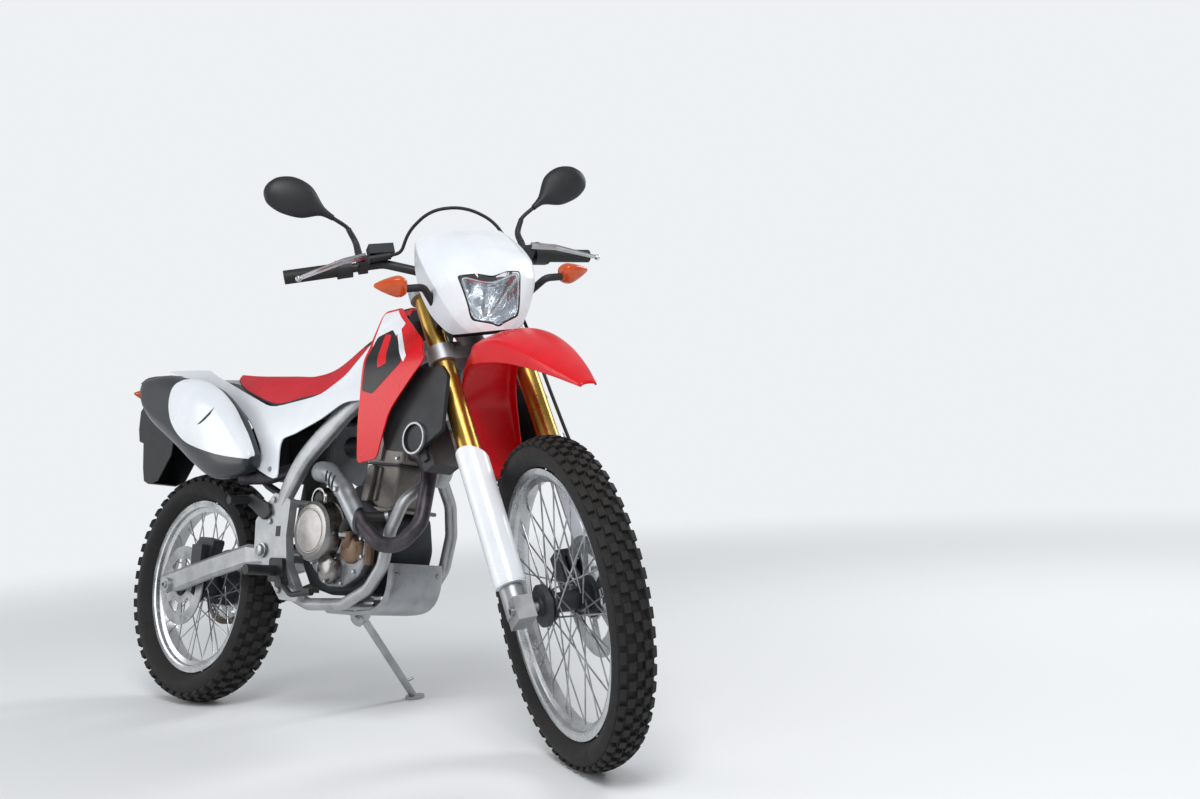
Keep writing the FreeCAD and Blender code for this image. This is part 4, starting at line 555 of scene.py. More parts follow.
def prism(outline, low, high, axis=1, where=placed):
    # a flat outline in mm carried from one level to another along one axis, its ends closed
    ends = [np.insert(np.asarray(outline, float), axis, level, 1) for level in (low, high)]
    ring = np.arange(len(outline))
    onward, count = np.roll(ring, -1), len(outline)
    walls = np.stack([ring, onward, onward + count, ring + count], 1).tolist()
    return where(np.concatenate(ends)), walls + [ring[::-1].tolist(), (ring + count).tolist()]


def rounded(outline, share=0.18, steps=4):
    # each corner swapped for a short curve that starts and ends a share of the way along its two sides
    outline = np.asarray(outline, float)
    back = outline + (np.roll(outline, 1, 0) - outline) * share
    onward = outline + (np.roll(outline, -1, 0) - outline) * share
    t = np.linspace(0, 1, steps)[None, :, None]
    curve = (1 - t) ** 2 * back[:, None] + 2 * t * (1 - t) * outline[:, None] + t ** 2 * onward[:, None]
    return curve.reshape(-1, 2)


def sideSkin(profile, start, end, columns, side):
    # an upright skin: its distance from the middle follows the height by the profile, its length runs along x
    profile = smoothPath(profile, 60)
    x = np.linspace(start, end, columns)
    return np.stack(np.broadcast_arrays(x[None, :], side * profile[:, 1:2], profile[:, 0:1]), -1)[:, ::-side]


def panelPiece(name, net, low, high, tools, finishName, slot, closed=False, steered=False, cuts=(),
               stands=None):
    # a slab of a skin, kept inside some shapes and cut by others
    points, faces = slab(net, low, high, closed)
    body = "steering" if steered else "frame"
    piece = makePiece(name, placed(points, steered), faces, finishName, body, stands=stands)
    outward(piece.data)
    trimmed(piece, tools)
    trimmed(piece, cuts, "DIFFERENCE")


# Muffler: an oval shell along its own line, its cover a slab of the same skin. Rows of along, above,
# half height and half width.
muffler = {"start": (440.0, -172.0, 640.0), "run": (-0.901, 0, 0.434), "up": (0.434, 0, 0.901),
           "rows": ((-10, 16, 16, 16), (0, 12, 30, 24), (60, 5, 67, 36), (130, 3, 95, 44),
                    (230, 9, 105, 48), (320, 8, 100, 48), (400, -1, 89, 48), (500, -14, 74, 44),
                    (570, -23, 49, 38), (612, -21, 25, 28)), "squareness": 0.72, "room": 5,
           # outline of the cover along and above the line, and of its slit in x and z
           "cover": ((-26, 44), (62, 76), (157, 111), (237, 121), (308, 117), (382, 96), (412, 58), (392, 8),
                     (356, -25), (311, -42), (250, -46), (164, -30), (72, -7), (-31, 30)),
           "slit": ((250, 751), (270, 762), (290, 776), (315, 797), (306, 776), (288, 762), (268, 753)),
           "coverLevels": (0.4, 4.0), "coverAcross": (-260, -176)}


def mufflerNet(grow):
    # at each station along the line an oval, squarer than an ellipse: powers of sine and cosine under one
    along, above, tall, wide = smoothPath(muffler["rows"], 64).T[..., None, None]
    turn = fullTurn(48)[None, :, None]
    across = squarer(np.cos(turn), muffler["squareness"]) * (wide + grow)
    lift = squarer(np.sin(turn), muffler["squareness"]) * (tall + grow)
    return (np.array(muffler["start"]) + along * np.array(muffler["run"])
            + (above + lift) * np.array(muffler["up"]) + across * np.array([0, 1.0, 0]))


def mufflerSide(outline):
    # along and above the muffler's line to x and z
    outline = np.asarray(outline, float)
    run, up = np.array(muffler["run"])[[0, 2]], np.array(muffler["up"])[[0, 2]]
    return np.array(muffler["start"])[[0, 2]] + outline[:, :1] * run + outline[:, 1:] * up


mufflerPoints, mufflerFaces = capped(mufflerNet(0))
mufflerShell = makePiece("mufflerShell", placed(mufflerPoints), mufflerFaces, "mufflerPaint",
                         stands="muffler")
outward(mufflerShell.data)
coverShape = prism(rounded(mufflerSide(muffler["cover"]), 0.42, 6), *muffler["coverAcross"])
panelPiece("mufflerCover", mufflerNet(0), *muffler["coverLevels"], [coverShape], "whiteAbs", "white_plastic",
           closed=True, cuts=[prism(muffler["slit"], *muffler["coverAcross"])], stands="muffler_cover")
print("muffler")

# Side panels and shrouds, right and left: a profile of height and distance from the middle, an outline in
# x and z, start, end and steps of the skin along x, and the levels across between which the outline cuts
panels = {"profile": ((1015, 74), (960, 84), (921, 98), (841, 120), (799, 131), (720, 142), (590, 144)),
          "outline": ((-200, 958), (60, 938), (97, 921), (326, 841), (456, 797), (656, 816), (739, 862),
                      (792, 923), (836, 993), (852, 1004), (885, 915), (892, 790), (768, 793), (686, 753),
                      (583, 721), (534, 712), (524, 690), (528, 600), (356, 665), (169, 827), (-60, 925)),
          "skin": (-260, 900, 60), "across": (60, 170), "wall": 3.5}
panelOutline = rounded(panels["outline"], 0.25)
hollowPoints, hollowFaces = capped(mufflerNet(muffler["room"]))
for side, tag in ((-1, "Right"), (1, "Left")):
    inside = prism(panelOutline, *sorted(side * level for level in panels["across"]))
    hollow = [(placed(hollowPoints), hollowFaces)] if side == -1 else []
    panelPiece("sidePanel" + tag, sideSkin(panels["profile"], *panels["skin"], side), -panels["wall"], 0,
               [inside], "whiteAbs", "white_plastic", cuts=hollow, stands="side_panels")
print("side panels")

shroud = {"profile": ((1020, 96), (1010, 104), (985, 122), (909, 164), (858, 184), (748, 187), (642, 174),
                      (625, 170)),
          "outline": ((866, 1011), (922, 1015), (957, 990), (1085, 907), (1119, 858), (1013, 748), (962, 642),
                      (890, 632), (903, 781), (896, 900)),
          "skin": (850, 1130, 30), "across": (80, 210), "wall": 3.5,
          # generic flashes: colour film in x and z, each laid a step above the one before
          "films": (("whiteFilm", ((872, 1004), (918, 1008), (950, 984), (985, 962), (966, 905), (905, 905))),
                    ("blackFilm", ((905, 935), (948, 950), (1010, 905), (1040, 858), (948, 790), (908, 800),
                                   (906, 880))),
                    ("redFilm", ((930, 940), (955, 935), (985, 860), (955, 850))),
                    ("whiteFilm", ((955, 960), (966, 964), (1052, 872), (1046, 856)))),
          "filmLevels": (0.05, 0.35), "filmStep": 0.08}
shroudOutline = rounded(shroud["outline"], 0.14)
for side, tag in ((-1, "Right"), (1, "Left")):
    net = sideSkin(shroud["profile"], *shroud["skin"], side)
    levels = sorted(side * level for level in shroud["across"])
    inside = prism(shroudOutline, *levels)
    panelPiece("shroud" + tag, net, -shroud["wall"], 0, [inside], "redAbs", "red_plastic", stands="shrouds")
    for number, (film, outline) in enumerate(shroud["films"]):
        low, high = [level + shroud["filmStep"] * number for level in shroud["filmLevels"]]
        panelPiece("flash%s%d" % (tag, number + 1), net, low, high,
                   [prism(rounded(outline, 0.1, 3), *levels), inside], film, "red_plastic")
print("shrouds")

# Headlight cowl: rows of along, half width, ahead at the middle, at the corner and at the back edge
cowl = {"rows": ((1254, 112, 166, 158, 128), (1188, 127, 210, 190, 118), (1110, 125, 240, 214, 104),
                 (1040, 100, 226, 194, 98), (1002, 72, 196, 172, 112), (967, 28, 173, 162, 134)),
        "lens": ((-76, 1092), (0, 1070), (76, 1092), (57, 1000), (0, 971), (-57, 1000)), "wall": 3.0,
        # cut away below, ahead and along
        "below": ((40, 1060), (120, 1002), (176, 966), (300, 962), (300, 880), (40, 880)),
        "lensScale": 0.95, "sealScale": (0.952, 0.995), "stalkHole": 9.5}


def cowlNet():
    # eight places round each row: back edge, side, corner, brow and the same again mirrored
    cage = []
    for along, half, middle, corner, back in cowl["rows"]:
        places = [(back, half), (corner - 22, half), (corner, half * 0.78), (middle, half * 0.3)]
        cage.append([(u, -y, along) for u, y in places] + [(u, y, along) for u, y in places[::-1]])
    return netted(forkPoints(cage), 72, 84, 0.3, 0.13)


def lensPrism(low, high, scale=1.0):
    # the lens outline from one distance ahead to another, scaled about its middle
    outline = rounded(cowl["lens"], 0.12, 4)
    middle = outline.mean(0)
    return prism(middle + (outline - middle) * scale, low, high, 0, forkPlaced)


net = cowlNet()
cowlCuts = [lensPrism(100, 300), prism(cowl["below"], -160, 160, where=forkPlaced)]
for side in (-1, 1):
    # holes for the indicator stalks
    path = [(84, side * 90, 1088), (150, side * 124, 1088), (190, side * 146, 1088), (190, side * 200, 1088)]
    holePoints, holeFaces = sweep(forkPoints(smoothPath(path, 24)), cowl["stalkHole"], 16)
    cowlCuts.append((placed(holePoints, True), holeFaces))
panelPiece("headlightCowl", net, 0, cowl["wall"], [], "whiteAbs", "white_plastic", steered=True,
           cuts=cowlCuts, stands="headlight_cowl")
panelPiece("headlightLens", net, 0.2, 3.5, [lensPrism(120, 300, cowl["lensScale"])], "clearLens", "lens",
           steered=True, stands="headlight_lens")
panelPiece("lensSeal", net, 0, 3.2, [lensPrism(120, 300, cowl["sealScale"][1])], "mouldedRubber", "rubber",
           steered=True, cuts=[lensPrism(100, 320, cowl["sealScale"][0])])
print("headlight cowl")

# Reflector: a bowl that narrows from the lens outline to the bulb, pressed into upright flutes
reflector = {"front": 166.0, "slope": 0.5, "back": 118.0, "flutes": 22, "fluteMm": 1.4,
             "neck": 0.12, "widening": 0.83, "wall": 2.0, "bulb": (112, 158)}
outline = rounded(cowl["lens"], 0.3, 12)
middle = outline.mean(0)
share = np.linspace(0, 1, 28)[:, None]
spread = reflector["neck"] + reflector["widening"] * share
phase = np.arange(len(outline)) / len(outline) * 2 * np.pi * reflector["flutes"]
ripple = reflector["fluteMm"] * np.cos(phase)[None, :]
lensLevel = reflector["front"] + reflector["slope"] * (outline[:, 1] - outline[:, 1].min())
aheadLevel = reflector["back"] + (lensLevel - reflector["back"]) * share ** 2 + ripple * np.sin(np.pi * share)
bowl = np.stack([aheadLevel + 0 * spread, middle[0] + spread * (outline[:, 0] - middle[0])[None, :],
                 middle[1] + spread * (outline[:, 1] - middle[1])[None, :]], -1)
panelPiece("reflectorBowl", forkPoints(bowl), -reflector["wall"], 0, [], "reflectorChrome", "reflector",
           closed=True, steered=True, stands="headlight_bucket")
bulbPath = np.column_stack([np.linspace(*reflector["bulb"], 12), np.zeros(12), np.full(12, middle[1])])
bulbPoints, bulbFaces = sweep(forkPoints(bulbPath), (9, 9, 8, 8, 8, 7.5, 7, 7, 7, 6.5, 5, 1.5), 20)
makePiece("lampBulb", placed(bulbPoints, True), bulbFaces, "reflectorChrome", "steering")
print("reflector")

# Front fender: an arched skin, its rows ahead, along, half width and drop at the sides
fender = {"rows": ((-66, 722, 54, 14), (-78, 800, 64, 22), (-66, 866, 69, 30), (-30, 926, 68, 36),
                   (50, 964, 64, 34), (130, 962, 66, 40), (200, 940, 82, 60), (300, 884, 74, 66),
                   (385, 792, 60, 46), (452, 698, 40, 24), (503, 618, 17, 8)), "wall": 3.5}


def fenderNet():
    # across each row: flat over the ridge, then down at the sides, the drop taken square to the run
    table = smoothPath(fender["rows"], 110)
    run = unit(np.gradient(table[:, :2], axis=0))
    inward = np.stack([run[:, 1], -run[:, 0]], 1)
    places = smoothPath([(-1, 1), (-0.97, 0.62), (-0.86, 0.27), (-0.45, 0.06), (0, 0), (0.45, 0.06),
                         (0.86, 0.27), (0.97, 0.62), (1, 1)], 56)
    across = places[None, :, 0] * table[:, 2:3]
    drop = places[None, :, 1] * table[:, 3:4]
    return np.stack([table[:, 0:1] + inward[:, 0:1] * drop, across,
                     table[:, 1:2] + inward[:, 1:2] * drop], -1)


panelPiece("frontFender", forkPoints(fenderNet()), -fender["wall"], 0, [], "redAbs", "red_plastic",
           steered=True, stands="front_fender")
print("fender")

# Mirrors: a bent stem with a boot and a teardrop head, its sections share along, half height and half depth
mirror = {"foot": (934.2, -210.3, 1187.0), "knee": (918.5, -210.3, 1217.2), "elbow": (920.5, -224.3, 1251.2),
          "neck": (926.5, -258.3, 1277.2), "outer": (930.5, -410.3, 1355.2),
          "sections": ((0.0, 7, 7), (0.1, 9, 9), (0.2, 15, 12), (0.42, 41, 18), (0.68, 47, 19),
                       (0.88, 36, 15), (0.97, 19, 9), (1.0, 6, 3)),
          "backShare": 1.15, "riderShare": 0.4, "sag": 9}


def mirrorHead():
    # rings along the head by its sections, rounder at the back than on the rider's side
    neck, outer = np.array(mirror["neck"]), np.array(mirror["outer"])
    tall = unit(np.cross(unit(outer - neck), [-1.0, 0, 0]))
    table = smoothPath(mirror["sections"], 44)
    turn = fullTurn(40)[None, :]
    wave = np.cos(turn)
    deep = table[:, 2:3] * wave * np.where(wave > 0, mirror["backShare"], mirror["riderShare"])
    high = table[:, 1:2] * np.sin(turn)
    middle = neck + (outer - neck) * table[:, 0:1] + tall * (-mirror["sag"] * np.sin(np.pi * table[:, 0:1]))
    return middle[:, None] + high[..., None] * tall + deep[..., None] * np.array([1.0, 0, 0])


mirrorStem = smoothPath([mirror[key] for key in ("foot", "knee", "elbow", "neck")], 30)
bootPath = smoothPath([mirror[key] for key in ("foot", "knee", "elbow")], 12)
mirrorPoints, mirrorFaces = merged([capped(mirrorHead()), sweep(mirrorStem, 5.0, 14),
                                    sweep(bootPath, np.linspace(9.0, 6.5, 12), 16)])
for side, tag in ((1, "Right"), (-1, "Left")):
    piece = makePiece("mirror" + tag, placed(mirrorPoints * (1.0, side, 1.0), True), mirrorFaces,
                      "grainedBlack", "steering", stands="mirrors")
    outward(piece.data)
print("mirrors")

# Turned and cast shapes of the engine and the frame

def lathe(profile, centre, axis, sides):
    # a profile of radius and height turned round an axis, its ends closed
    profile, axis = np.asarray(profile, float), unit(np.asarray(axis, float))
    side = unit(np.cross(axis, [1.0, 0, 0] if abs(axis[0]) < 0.9 else [0, 0, 1.0]))
    turn = fullTurn(sides)[:, None]
    ring = np.cos(turn) * side + np.sin(turn) * np.cross(axis, side)
    radius, height = profile.T[..., None, None]
    return capped(np.asarray(centre, float) + height * axis + radius * ring)


def ringBand(inner, outer, low, high, centre, axis, sides=48):
    # a flat ring: four corners of its section turned round the axis
    points, faces = lathe(((inner, low), (outer, low), (outer, high), (inner, high)), centre, axis, sides)
    return points, gridFaces(4, sides, closeRows=True, closeColumns=True).tolist()


def hexBolt(centre, normal, size, tall=6.0):
    # a washer with a six sided head, its top edge broken
    washer = lathe(((size * 1.3, -1), (size * 1.3, 1.2), (size * 1.2, 1.6)), centre, normal, 20)
    head = lathe(((size, 1.4), (size, tall - 1), (size * 0.86, tall)), centre, normal, 6)
    return merged([washer, head])


def madeOf(name, parts, finishName, steered=False, sharp=30, stands=None):
    # one piece of several shapes in machine mm
    points, faces = merged(parts)
    body = "steering" if steered else "frame"
    piece = makePiece(name, placed(points, steered), faces, finishName, body, stands=stands)
    outward(piece.data)
    piece.data.set_sharp_from_angle(angle=math.radians(sharp))


def castBlock(name, outline, low, high, edge, finishName, slot="engine_metal", stands=None):
    # a casting from its side outline, its corners rounded and its edges bevelled in mm
    points, faces = prism(rounded(outline, 0.16, 4), low, high)
    piece = makePiece(name, points, faces, finishName, stands=stands)
    outward(piece.data)
    bevel = piece.modifiers.new("edge", "BEVEL")
    bevel.width, bevel.segments = edge / 1000, 3
    bevel.limit_method, bevel.angle_limit = "ANGLE", math.radians(40)
    settle(piece)


# castings of the engine: outline in x and z, how far across, the bevel and the finish
castings = {
    "crankcase": (((560, 470), (600, 520), (700, 545), (800, 560), (880, 520), (896, 440), (880, 376),
                   (820, 334), (700, 324), (610, 340), (566, 400)), -78, 78, 12, "engineCasting"),
    "rightCover": (((612, 462), (630, 530), (690, 566), (770, 556), (812, 512), (858, 478), (866, 420),
                    (836, 372), (780, 346), (716, 346), (650, 392)), -106, -76, 7, "coverCasting"),
    "cylinder": (((778, 540), (890, 530), (912, 640), (806, 650)), -60, 60, 6, "headCasting"),
    "cylinderHead": (((792, 646), (926, 638), (940, 704), (806, 716)), -70, 70, 6, "headCasting"),
    "valveCover": (((812, 714), (936, 703), (930, 758), (846, 768)), -62, 62, 10, "headCasting"),
    # dark strips in the parting lines between cylinder, head and valve cover: painted gap shade
    "headGapShade": (((796, 645), (924, 637), (925, 641), (797, 649)), -72, 72, 0.8, "darkCasting"),
    "coverGapShade": (((806, 708), (940, 699), (941, 704), (807, 713)), -68, 68, 0.8, "darkCasting"),
    "headRib": (((842, 652), (856, 651), (866, 700), (852, 701)), -78, -64, 3, "headCasting"),
    "portFlange": (((896, 646), (930, 646), (936, 690), (902, 690)), -60, -24, 3, "headCasting"),
    "cylinderRib": (((822, 556), (832, 555), (848, 636), (838, 637)), -66, -54, 3, "headCasting"),
    "cylinderBase": (((772, 536), (900, 526), (902, 536), (774, 547)), -72, 72, 2, "headCasting"),
    "chainTunnel": (((784, 556), (812, 554), (832, 640), (806, 643)), -74, -50, 5, "headCasting"),
    "chainCover": (((520, 400), (540, 470), (600, 490), (690, 470), (690, 390), (560, 370)), 89, 104, 5,
                   "engineCasting"),
}
for name, casting in castings.items():
    castBlock(name, *casting, stands="engine" if name == "crankcase" else None)
# centres of the engine's round parts
engine = {"clutch": (703, -100, 477), "filter": (744, -104, 388), "pump": (812, -104, 436),
          "generator": (740, 78, 440), "filler": (700, -108, 556), "sprocket": (565, 76, 425)}
right, left = np.array([0, -1.0, 0]), np.array([0, 1.0, 0])
clutchProfile = ((80, -4), (82, 6), (80, 11), (76, 13), (75, 40), (72, 49), (64, 54.5), (55, 56), (53.5, 55),
                 (51, 55), (49.5, 56.4), (20, 57.6), (0.4, 58))
madeOf("clutchCover", [lathe(clutchProfile, engine["clutch"], right, 64)], "turnedCover", sharp=25,
       stands="engine_covers")
madeOf("filterCap", [lathe(((36, -4), (36, 18), (34, 25), (28, 29), (12, 31), (0.4, 31.4)),
                           engine["filter"], right, 40)], "turnedCover")
madeOf("fillerCap", [lathe(((30, -6), (30, 24), (27, 28), (23, 28), (22, 20), (0.4, 19)),
                           engine["filler"], right, 36)], "turnedCover")
madeOf("fillerPlug", [lathe(((19, 14), (19, 25), (16, 28), (0.4, 29)), engine["filler"], right, 12)],
       "grainedBlack")
pump = np.array(engine["pump"], float)
pumpNeck = ((15, 0), (15, 34), (17, 34), (17, 38), (0.4, 38))
madeOf("waterPump", [lathe(((34, -6), (34, 8), (30, 14), (22, 17), (0.4, 18)), pump, right, 36),
                     lathe(pumpNeck, pump + [-6, -10, 8], (0.1, -0.25, 1), 24),
                     lathe(((13, 0), (13, 44), (0.4, 45)), pump + [28, 6, -22], (0, -0.2, 1), 24),
                     lathe(((12, 0), (12, 52), (0.4, 53)), pump + [54, 8, -34], (0.1, -0.1, 1), 24)],
       "bronzePaint")
hosePath = smoothPath([(803, -126, 462), (808, -129, 486), (824, -128, 504), (852, -116, 512),
                       (884, -92, 512), (908, -70, 520)], 40)
madeOf("waterHose", [sweep(hosePath, 13.0, 20)], "mouldedRubber")
madeOf("hoseClips", [ringBand(12.8, 14.2, -4, 4, hosePath[at], hosePath[end] - hosePath[start], 24)
                     for at, start, end in ((3, 2, 5), (-4, -5, -2))], "zincPlate")
generatorProfile = ((82, -2), (82, 40), (79, 48), (70, 52), (58, 52.5), (56, 51), (54, 52.5), (0.4, 54))
madeOf("generatorCover", [lathe(generatorProfile, engine["generator"], left, 56)], "coverCasting")
madeOf("driveHub", [lathe(((29, -24), (29, 12), (0.4, 12)), engine["sprocket"], left, 24),
                    lathe(((36, -3), (37, 0), (36, 3)), engine["sprocket"], left, 36),
                    lathe(((30, -44), (30, 40), (0.4, 40)), (740, 0, 566), left, 28),
                    lathe(((28, 0), (28, 150), (31, 150), (31, 170)), (640, 0, 700), (1, 0, 0), 28)],
       "engineCasting")
print("engine")

# Bolts and small fittings of the right side

def boltsAt(across, size, places, tall=6.0):
    # bolts that face right, at places of x and z
    return [hexBolt(np.array([x, float(across), z]), right, size, tall) for x, z in places]


def boltCircle(centre, radius, angles):
    # places round a centre
    return [(centre[0] + radius * math.cos(a), centre[2] + radius * math.sin(a)) for a in angles]


clutchAngles = [a for a in fullTurn(6) + 0.5 if not 0.9 < a < 2.3]      # none behind the filler
madeOf("engineBolts", boltsAt(-106, 5.0, boltCircle(engine["clutch"], 90, clutchAngles))
       + boltsAt(-106, 5.0, ((845, 462), (852, 420), (826, 384), (780, 356), (660, 402)))
       + boltsAt(-129, 3.6, boltCircle(engine["filter"], 30, (0.6, 2.7, 4.8)), 5)
       + boltsAt(-70, 5.0, ((812, 662), (912, 655), (824, 700), (918, 692)))
       + boltsAt(-62, 5.0, ((836, 728), (918, 722), (880, 752))), "zincPlate")
madeOf("frameBolts", boltsAt(-128, 7, ((504, 556), (494, 502), (556, 330)))
       + boltsAt(-134, 15, ((470, 428),), 9) + boltsAt(-144, 5.0, ((493, 634),), 5)
       + [hexBolt(np.array([931, y, 383.0]), (1, 0, 0.1), 6.0) for y in (-62, 62)], "zincPlate")
# a dark plate on the pivot plate: painted shade in its window
windowShadePoints, windowShadeFaces = prism(((520, 464), (540, 464), (540, 490), (520, 490)), -128.5, -127)
windowShade = makePiece("pivotWindowShade", windowShadePoints, windowShadeFaces, "powderBlack", smooth=False)
outward(windowShade.data)
madeOf("coverRing", [ringBand(32, 36.3, 0, 6.6, (1078, -160, 684), right)], "pressedSteel")
print("bolts")

# Frame beams: rounded box sections, their rows a point, width and height
beams = {"spar": ((1012, -26, 936, 30, 50), (940, -66, 898, 30, 50), (860, -88, 852, 30, 50),
                  (768, -104, 790, 30, 50), (690, -110, 730, 30, 50), (612, -118, 664, 30, 50),
                  (556, -118, 596, 30, 48), (526, -117, 548, 26, 38)),
         "downtube": ((1028, 0, 936, 46, 52), (1022, 0, 868, 46, 54), (1018, 0, 790, 46, 58),
                      (1003, 0, 701, 50, 58), (984, 0, 630, 56, 54), (970, 0, 598, 44, 44)),
         # the head tube's ends up the fork and its profile, and the cross tube's x, z and half length
         "head": (1020.3, 1164.7),
         "headTube": ((24, 0), (30, 0), (30, 4), (29, 6), (29, 138), (30, 140), (30, 144.4), (24, 144.4)),
         "crossTube": (798.1, 827.3, 96)}


def beamNet(rows, count=48, power=0.62):
    # at each row a section between an ellipse and a box, wide across and tall square to the run
    table = smoothPath(rows, count)[:, None]
    run = unit(np.gradient(table[:, 0, :3], axis=0))
    over = unit(np.cross(run, [0, 1.0, 0]))
    across = np.cross(over, run)
    turn = fullTurn(28)[None, :, None]
    return (table[..., :3] + squarer(np.cos(turn), power) * across[:, None] * table[..., 3:4] / 2
            + squarer(np.sin(turn), power) * over[:, None] * table[..., 4:5] / 2)


flip = np.array([1.0, -1.0, 1.0])
sparNet = beamNet(beams["spar"])
headLow, headHigh = [forkPoints((0, 0, level)) for level in beams["head"]]
crossX, crossZ, crossHalf = beams["crossTube"]
# weld bead: a short run of the spar, swollen by 5% in its middle
bead = beamNet(beams["spar"], 400)[244:252]
beadMiddle = bead.mean(1, keepdims=True)
bead = beadMiddle + (bead - beadMiddle) * (1 + 0.05 * np.sin(np.linspace(0, np.pi, 8)))[:, None, None]
frameNets = (sparNet, sparNet * flip, beamNet(beams["downtube"], power=0.5), bead, bead * flip)
madeOf("frameSpars", [capped(net) for net in frameNets] + [
    lathe(beams["headTube"], headLow, headHigh - headLow, 36),
    sweep([(crossX, y, crossZ) for y in np.linspace(-crossHalf, crossHalf, 6)], 14, 20)],
       "silverAlloy", sharp=50, stands="frame_spars")

# Skid plate: a bent sheet between the lower tubes
skid = {"path": ((931, 408), (932, 372), (925, 335), (905, 306), (872, 290), (820, 283), (760, 281),
                 (690, 281)), "half": 84.0, "wall": 3.0, "turn": 9.0}
skidPath = smoothPath(skid["path"], 60)
skidAcross = np.linspace(-1, 1, 40)
skidRun = unit(np.gradient(skidPath, axis=0))
skidOut = np.stack([-skidRun[:, 1], skidRun[:, 0]], 1)     # towards the engine
curl = skid["turn"] * np.clip((np.abs(skidAcross) - 0.86) / 0.14, 0, 1) ** 2
skidNet = np.stack([skidPath[:, 0:1] - skidOut[:, 0:1] * curl,
                    skid["half"] * skidAcross + 0 * skidPath[:, 0:1],
                    skidPath[:, 1:2] - skidOut[:, 1:2] * curl], -1)
madeOf("skidPlate", [slab(skidNet, -skid["wall"], 0)], "pressedSteel", stands="skid_plate")

# Heat shield slots: painted shade of the openings, dark pieces laid on the straight of the shield
shield = {"start": (836.0, -152, 566), "end": (770.0, -150, 614), "radius": 27.3,
          "slots": ((34, 21), (52, 18), (68, 13))}           # place along the straight and half length
shieldStart, shieldEnd = np.array(shield["start"]), np.array(shield["end"])
shieldRun = unit(shieldEnd - shieldStart)
lean = shieldRun * 0.55 + np.array([shieldRun[2], 0, -shieldRun[0]]) * 0.83
thick = np.array([-lean[2], 0, lean[0]])
shieldPath = [shieldStart + (shieldEnd - shieldStart) * t for t in np.linspace(-0.1, 1.1, 8)]
slotShadePoints, slotShadeFaces = sweep(shieldPath, shield["radius"], 48)
for number, (place, long) in enumerate(shield["slots"]):
    spot = shieldStart + shieldRun * place
    corners = np.array([spot + end * lean * long + thick * wide
                        for end, wide in ((1, 1.2), (-1, 4.0), (-1, -4.0), (1, -1.2))])
    # each slot a dark strip in the tread rubber finish: painted shade where the shield opens
    slotShadePiece = makePiece("shieldSlotShade%d" % (number + 1), placed(slotShadePoints), slotShadeFaces, "treadRubber")
    outward(slotShadePiece.data)
    trimmed(slotShadePiece, [prism(corners[:, ::2], -200, -160)])
shieldBolt = hexBolt(shieldStart + shieldRun * 12 + np.array([0, -26.0, 0]), right, 6.5, 6)
madeOf("shieldBolt", [shieldBolt], "zincPlate")
print("frame")

# Indicators: black stalks, lenses with a ridge; rows along the lens, half ahead and half up, scaled for each
indicator = {"rows": ((0, 9, 9), (3, 15, 13), (12, 20, 17), (22, 19, 16), (40, 12, 10), (54, 4, 3.5),
                      (56, 1, 1)), "frontScale": (1.28, 1.45, 1.5), "rearScale": (0.9, 0.9, 1.0)}


def lensShape(start, outwards, ahead, scale):
    # diamond sections with softened edges, from the stalk outwards
    outwards = unit(np.asarray(outwards, float))
    ahead = unit(np.asarray(ahead, float) - outwards * np.dot(ahead, outwards))
    table = smoothPath(np.array(indicator["rows"]) * scale, 30)[:, None]
    turn = fullTurn(36)[None, :, None]
    return (np.asarray(start, float) + table[..., 0:1] * outwards
            + table[..., 1:2] * squarer(np.cos(turn), 1.35) * ahead
            + table[..., 2:3] * squarer(np.sin(turn), 1.35) * np.cross(outwards, ahead))


for side, tag in ((-1, "Right"), (1, "Left")):
    sideways = np.array([0, float(side), 0])
    frontLens = lensShape(forkPoints((191, side * 183.5, 1092)), sideways + along * 0.14, ahead,
                          indicator["frontScale"])
    madeOf("frontIndicator" + tag, [capped(frontLens)], "amberAcrylic", steered=True,
           stands="front_indicators")
    rearLens = lensShape((-232, side * 112, 880), sideways, (1, 0, 0), indicator["rearScale"])
    madeOf("rearIndicator" + tag, [capped(rearLens)], "amberAcrylic", stands="rear_lights")
    stalkPath = [(-232, side * y, 880) for y in np.linspace(45.3, 114, 6)]
    madeOf("rearStalk" + tag, [sweep(stalkPath, (9.5, 9.5, 8, 7.5, 7.5, 9), 20)], "mouldedRubber")
castBlock("tailLamp", ((-392, 942), (-404, 926), (-392, 896), (-372, 884), (-340, 926), (-352, 936)),
          -46, 46, 5, "redAcrylic", "amber", stands="rear_lights")
print("indicators")

# Floor, light and camera
studio = {"floorRadius": 40.0, "floorTone": "#eef0f1", "worldTone": "#eef1f4", "worldStrength": 0.5,
          # place, aim, watts and metres across
          "lamps": {"keyLamp": ((2.6, -2.2, 3.6), (0.1, 0.0, 0.5), 110.0, 1.8),
                    "fillLamp": ((-2.8, -3.2, 1.8), (0.0, 0.0, 0.6), 46.0, 2.6),
                    "rimLamp": ((1.4, 3.2, 2.8), (0.2, 0.0, 0.7), 55.0, 1.6)}}
rings, ringTurn = np.array([0.001, 1, 2, 4, 8, 16, studio["floorRadius"]])[:, None], fullTurn(96)
floorPoints = np.stack(np.broadcast_arrays(rings * np.cos(ringTurn), rings * np.sin(ringTurn), -0.0005), -1)
floorFaces = gridFaces(len(rings), len(ringTurn), closeColumns=True)[:, ::-1]
floor = shown("studioFloor", meshOf("studioFloor", floorPoints, floorFaces))
floorMaterial = bpy.data.materials.new("paleFloor")
tree = emptyTree(floorMaterial)
distance = addNode(tree, "VectorMath", {0: addNode(tree, "TexCoord").outputs["Object"]}, operation="LENGTH")
fade = addNode(tree, "MapRange", {"Value": distance.outputs["Value"], "From Min": 1.5, "From Max": 6.0},
               interpolation_type="SMOOTHSTEP")
specks = addNode(tree, "TexNoise", {"Scale": 400.0, "Detail": 2.0})
floorBump = addNode(tree, "Bump", {"Strength": 0.03, "Distance": 0.001, "Height": specks.outputs["Fac"]})
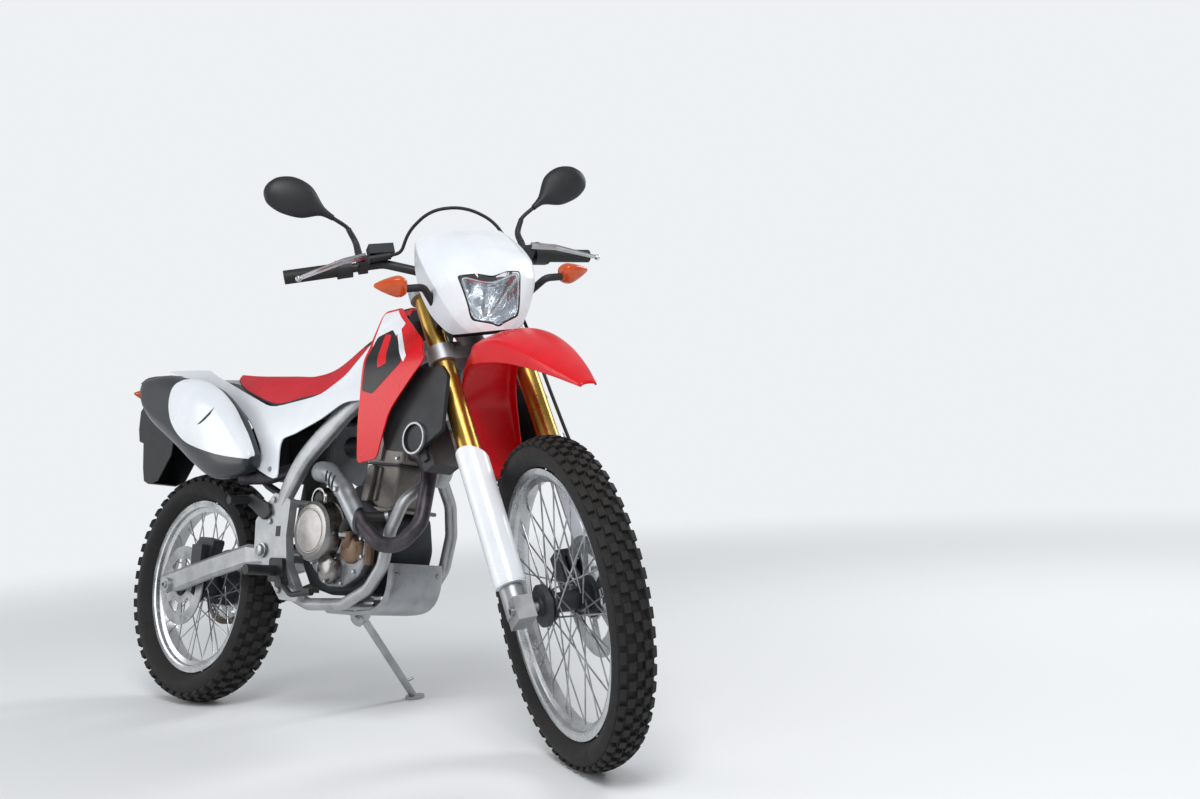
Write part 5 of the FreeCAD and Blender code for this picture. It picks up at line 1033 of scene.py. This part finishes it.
paint = addNode(tree, "BsdfPrincipled", {"Base Color": linear(studio["floorTone"]), "Roughness": 0.75,
                                         "Normal": floorBump.outputs["Normal"]})
glow = addNode(tree, "Emission", {"Color": linear(studio["worldTone"]), "Strength": 1.0})
blended = addNode(tree, "MixShader", {0: fade.outputs["Result"], 1: paint.outputs["BSDF"],
                                      2: glow.outputs["Emission"]})
addNode(tree, "OutputMaterial", {"Surface": blended.outputs["Shader"]})
floor.data.materials.append(floorMaterial)

world = bpy.data.worlds.new("studioWorld")
bpy.context.scene.world = world
tree = emptyTree(world)
rays = addNode(tree, "LightPath").outputs
seen = addNode(tree, "Math", {0: rays["Is Camera Ray"], 1: rays["Is Transmission Ray"]}, operation="MAXIMUM")
strength = addNode(tree, "MapRange", {"Value": seen.outputs["Value"], "To Min": studio["worldStrength"],
                                      "To Max": 1.0})
sky = addNode(tree, "Background", {"Color": linear(studio["worldTone"]),
                                   "Strength": strength.outputs["Result"]})
addNode(tree, "OutputWorld", {"Surface": sky.outputs["Background"]})

for name, (place, aim, watts, across) in studio["lamps"].items():
    lamp = bpy.data.lights.new(name, "AREA")
    lamp.energy, lamp.size, lamp.shape = watts, across, "DISK"
    holder = shown(name, lamp)
    holder.location = place
    holder.rotation_euler = (Vector(aim) - Vector(place)).to_track_quat("-Z", "Y").to_euler()

view = {"place": (2.4398, -1.9484, 0.6898), "yaw": 2.285419, "pitch": 0.0277228, "roll": -0.0653011,
        "focal": 1177.56, "photoWide": 1200.0, "sensorWide": 36.0}
flat = math.cos(view["pitch"])
forward = Vector((flat * math.cos(view["yaw"]), flat * math.sin(view["yaw"]), math.sin(view["pitch"])))
level = forward.cross(Vector((0, 0, 1))).normalized()
up = level.cross(forward)
rolledRight = level * math.cos(view["roll"]) + up * math.sin(view["roll"])
rolledUp = up * math.cos(view["roll"]) - level * math.sin(view["roll"])
camera = bpy.data.cameras.new("photoCamera")
camera.sensor_width = view["sensorWide"]
camera.lens = view["focal"] * view["sensorWide"] / view["photoWide"]
camera.clip_end = 200.0
holder = shown("photoCamera", camera)
holder.matrix_world = Matrix([(rolledRight[i], rolledUp[i], -forward[i], view["place"][i]) for i in range(3)]
                             + [(0, 0, 0, 1)])
bpy.context.scene.camera = holder
bpy.context.scene.view_settings.view_transform = "Standard"
print("camera and light")
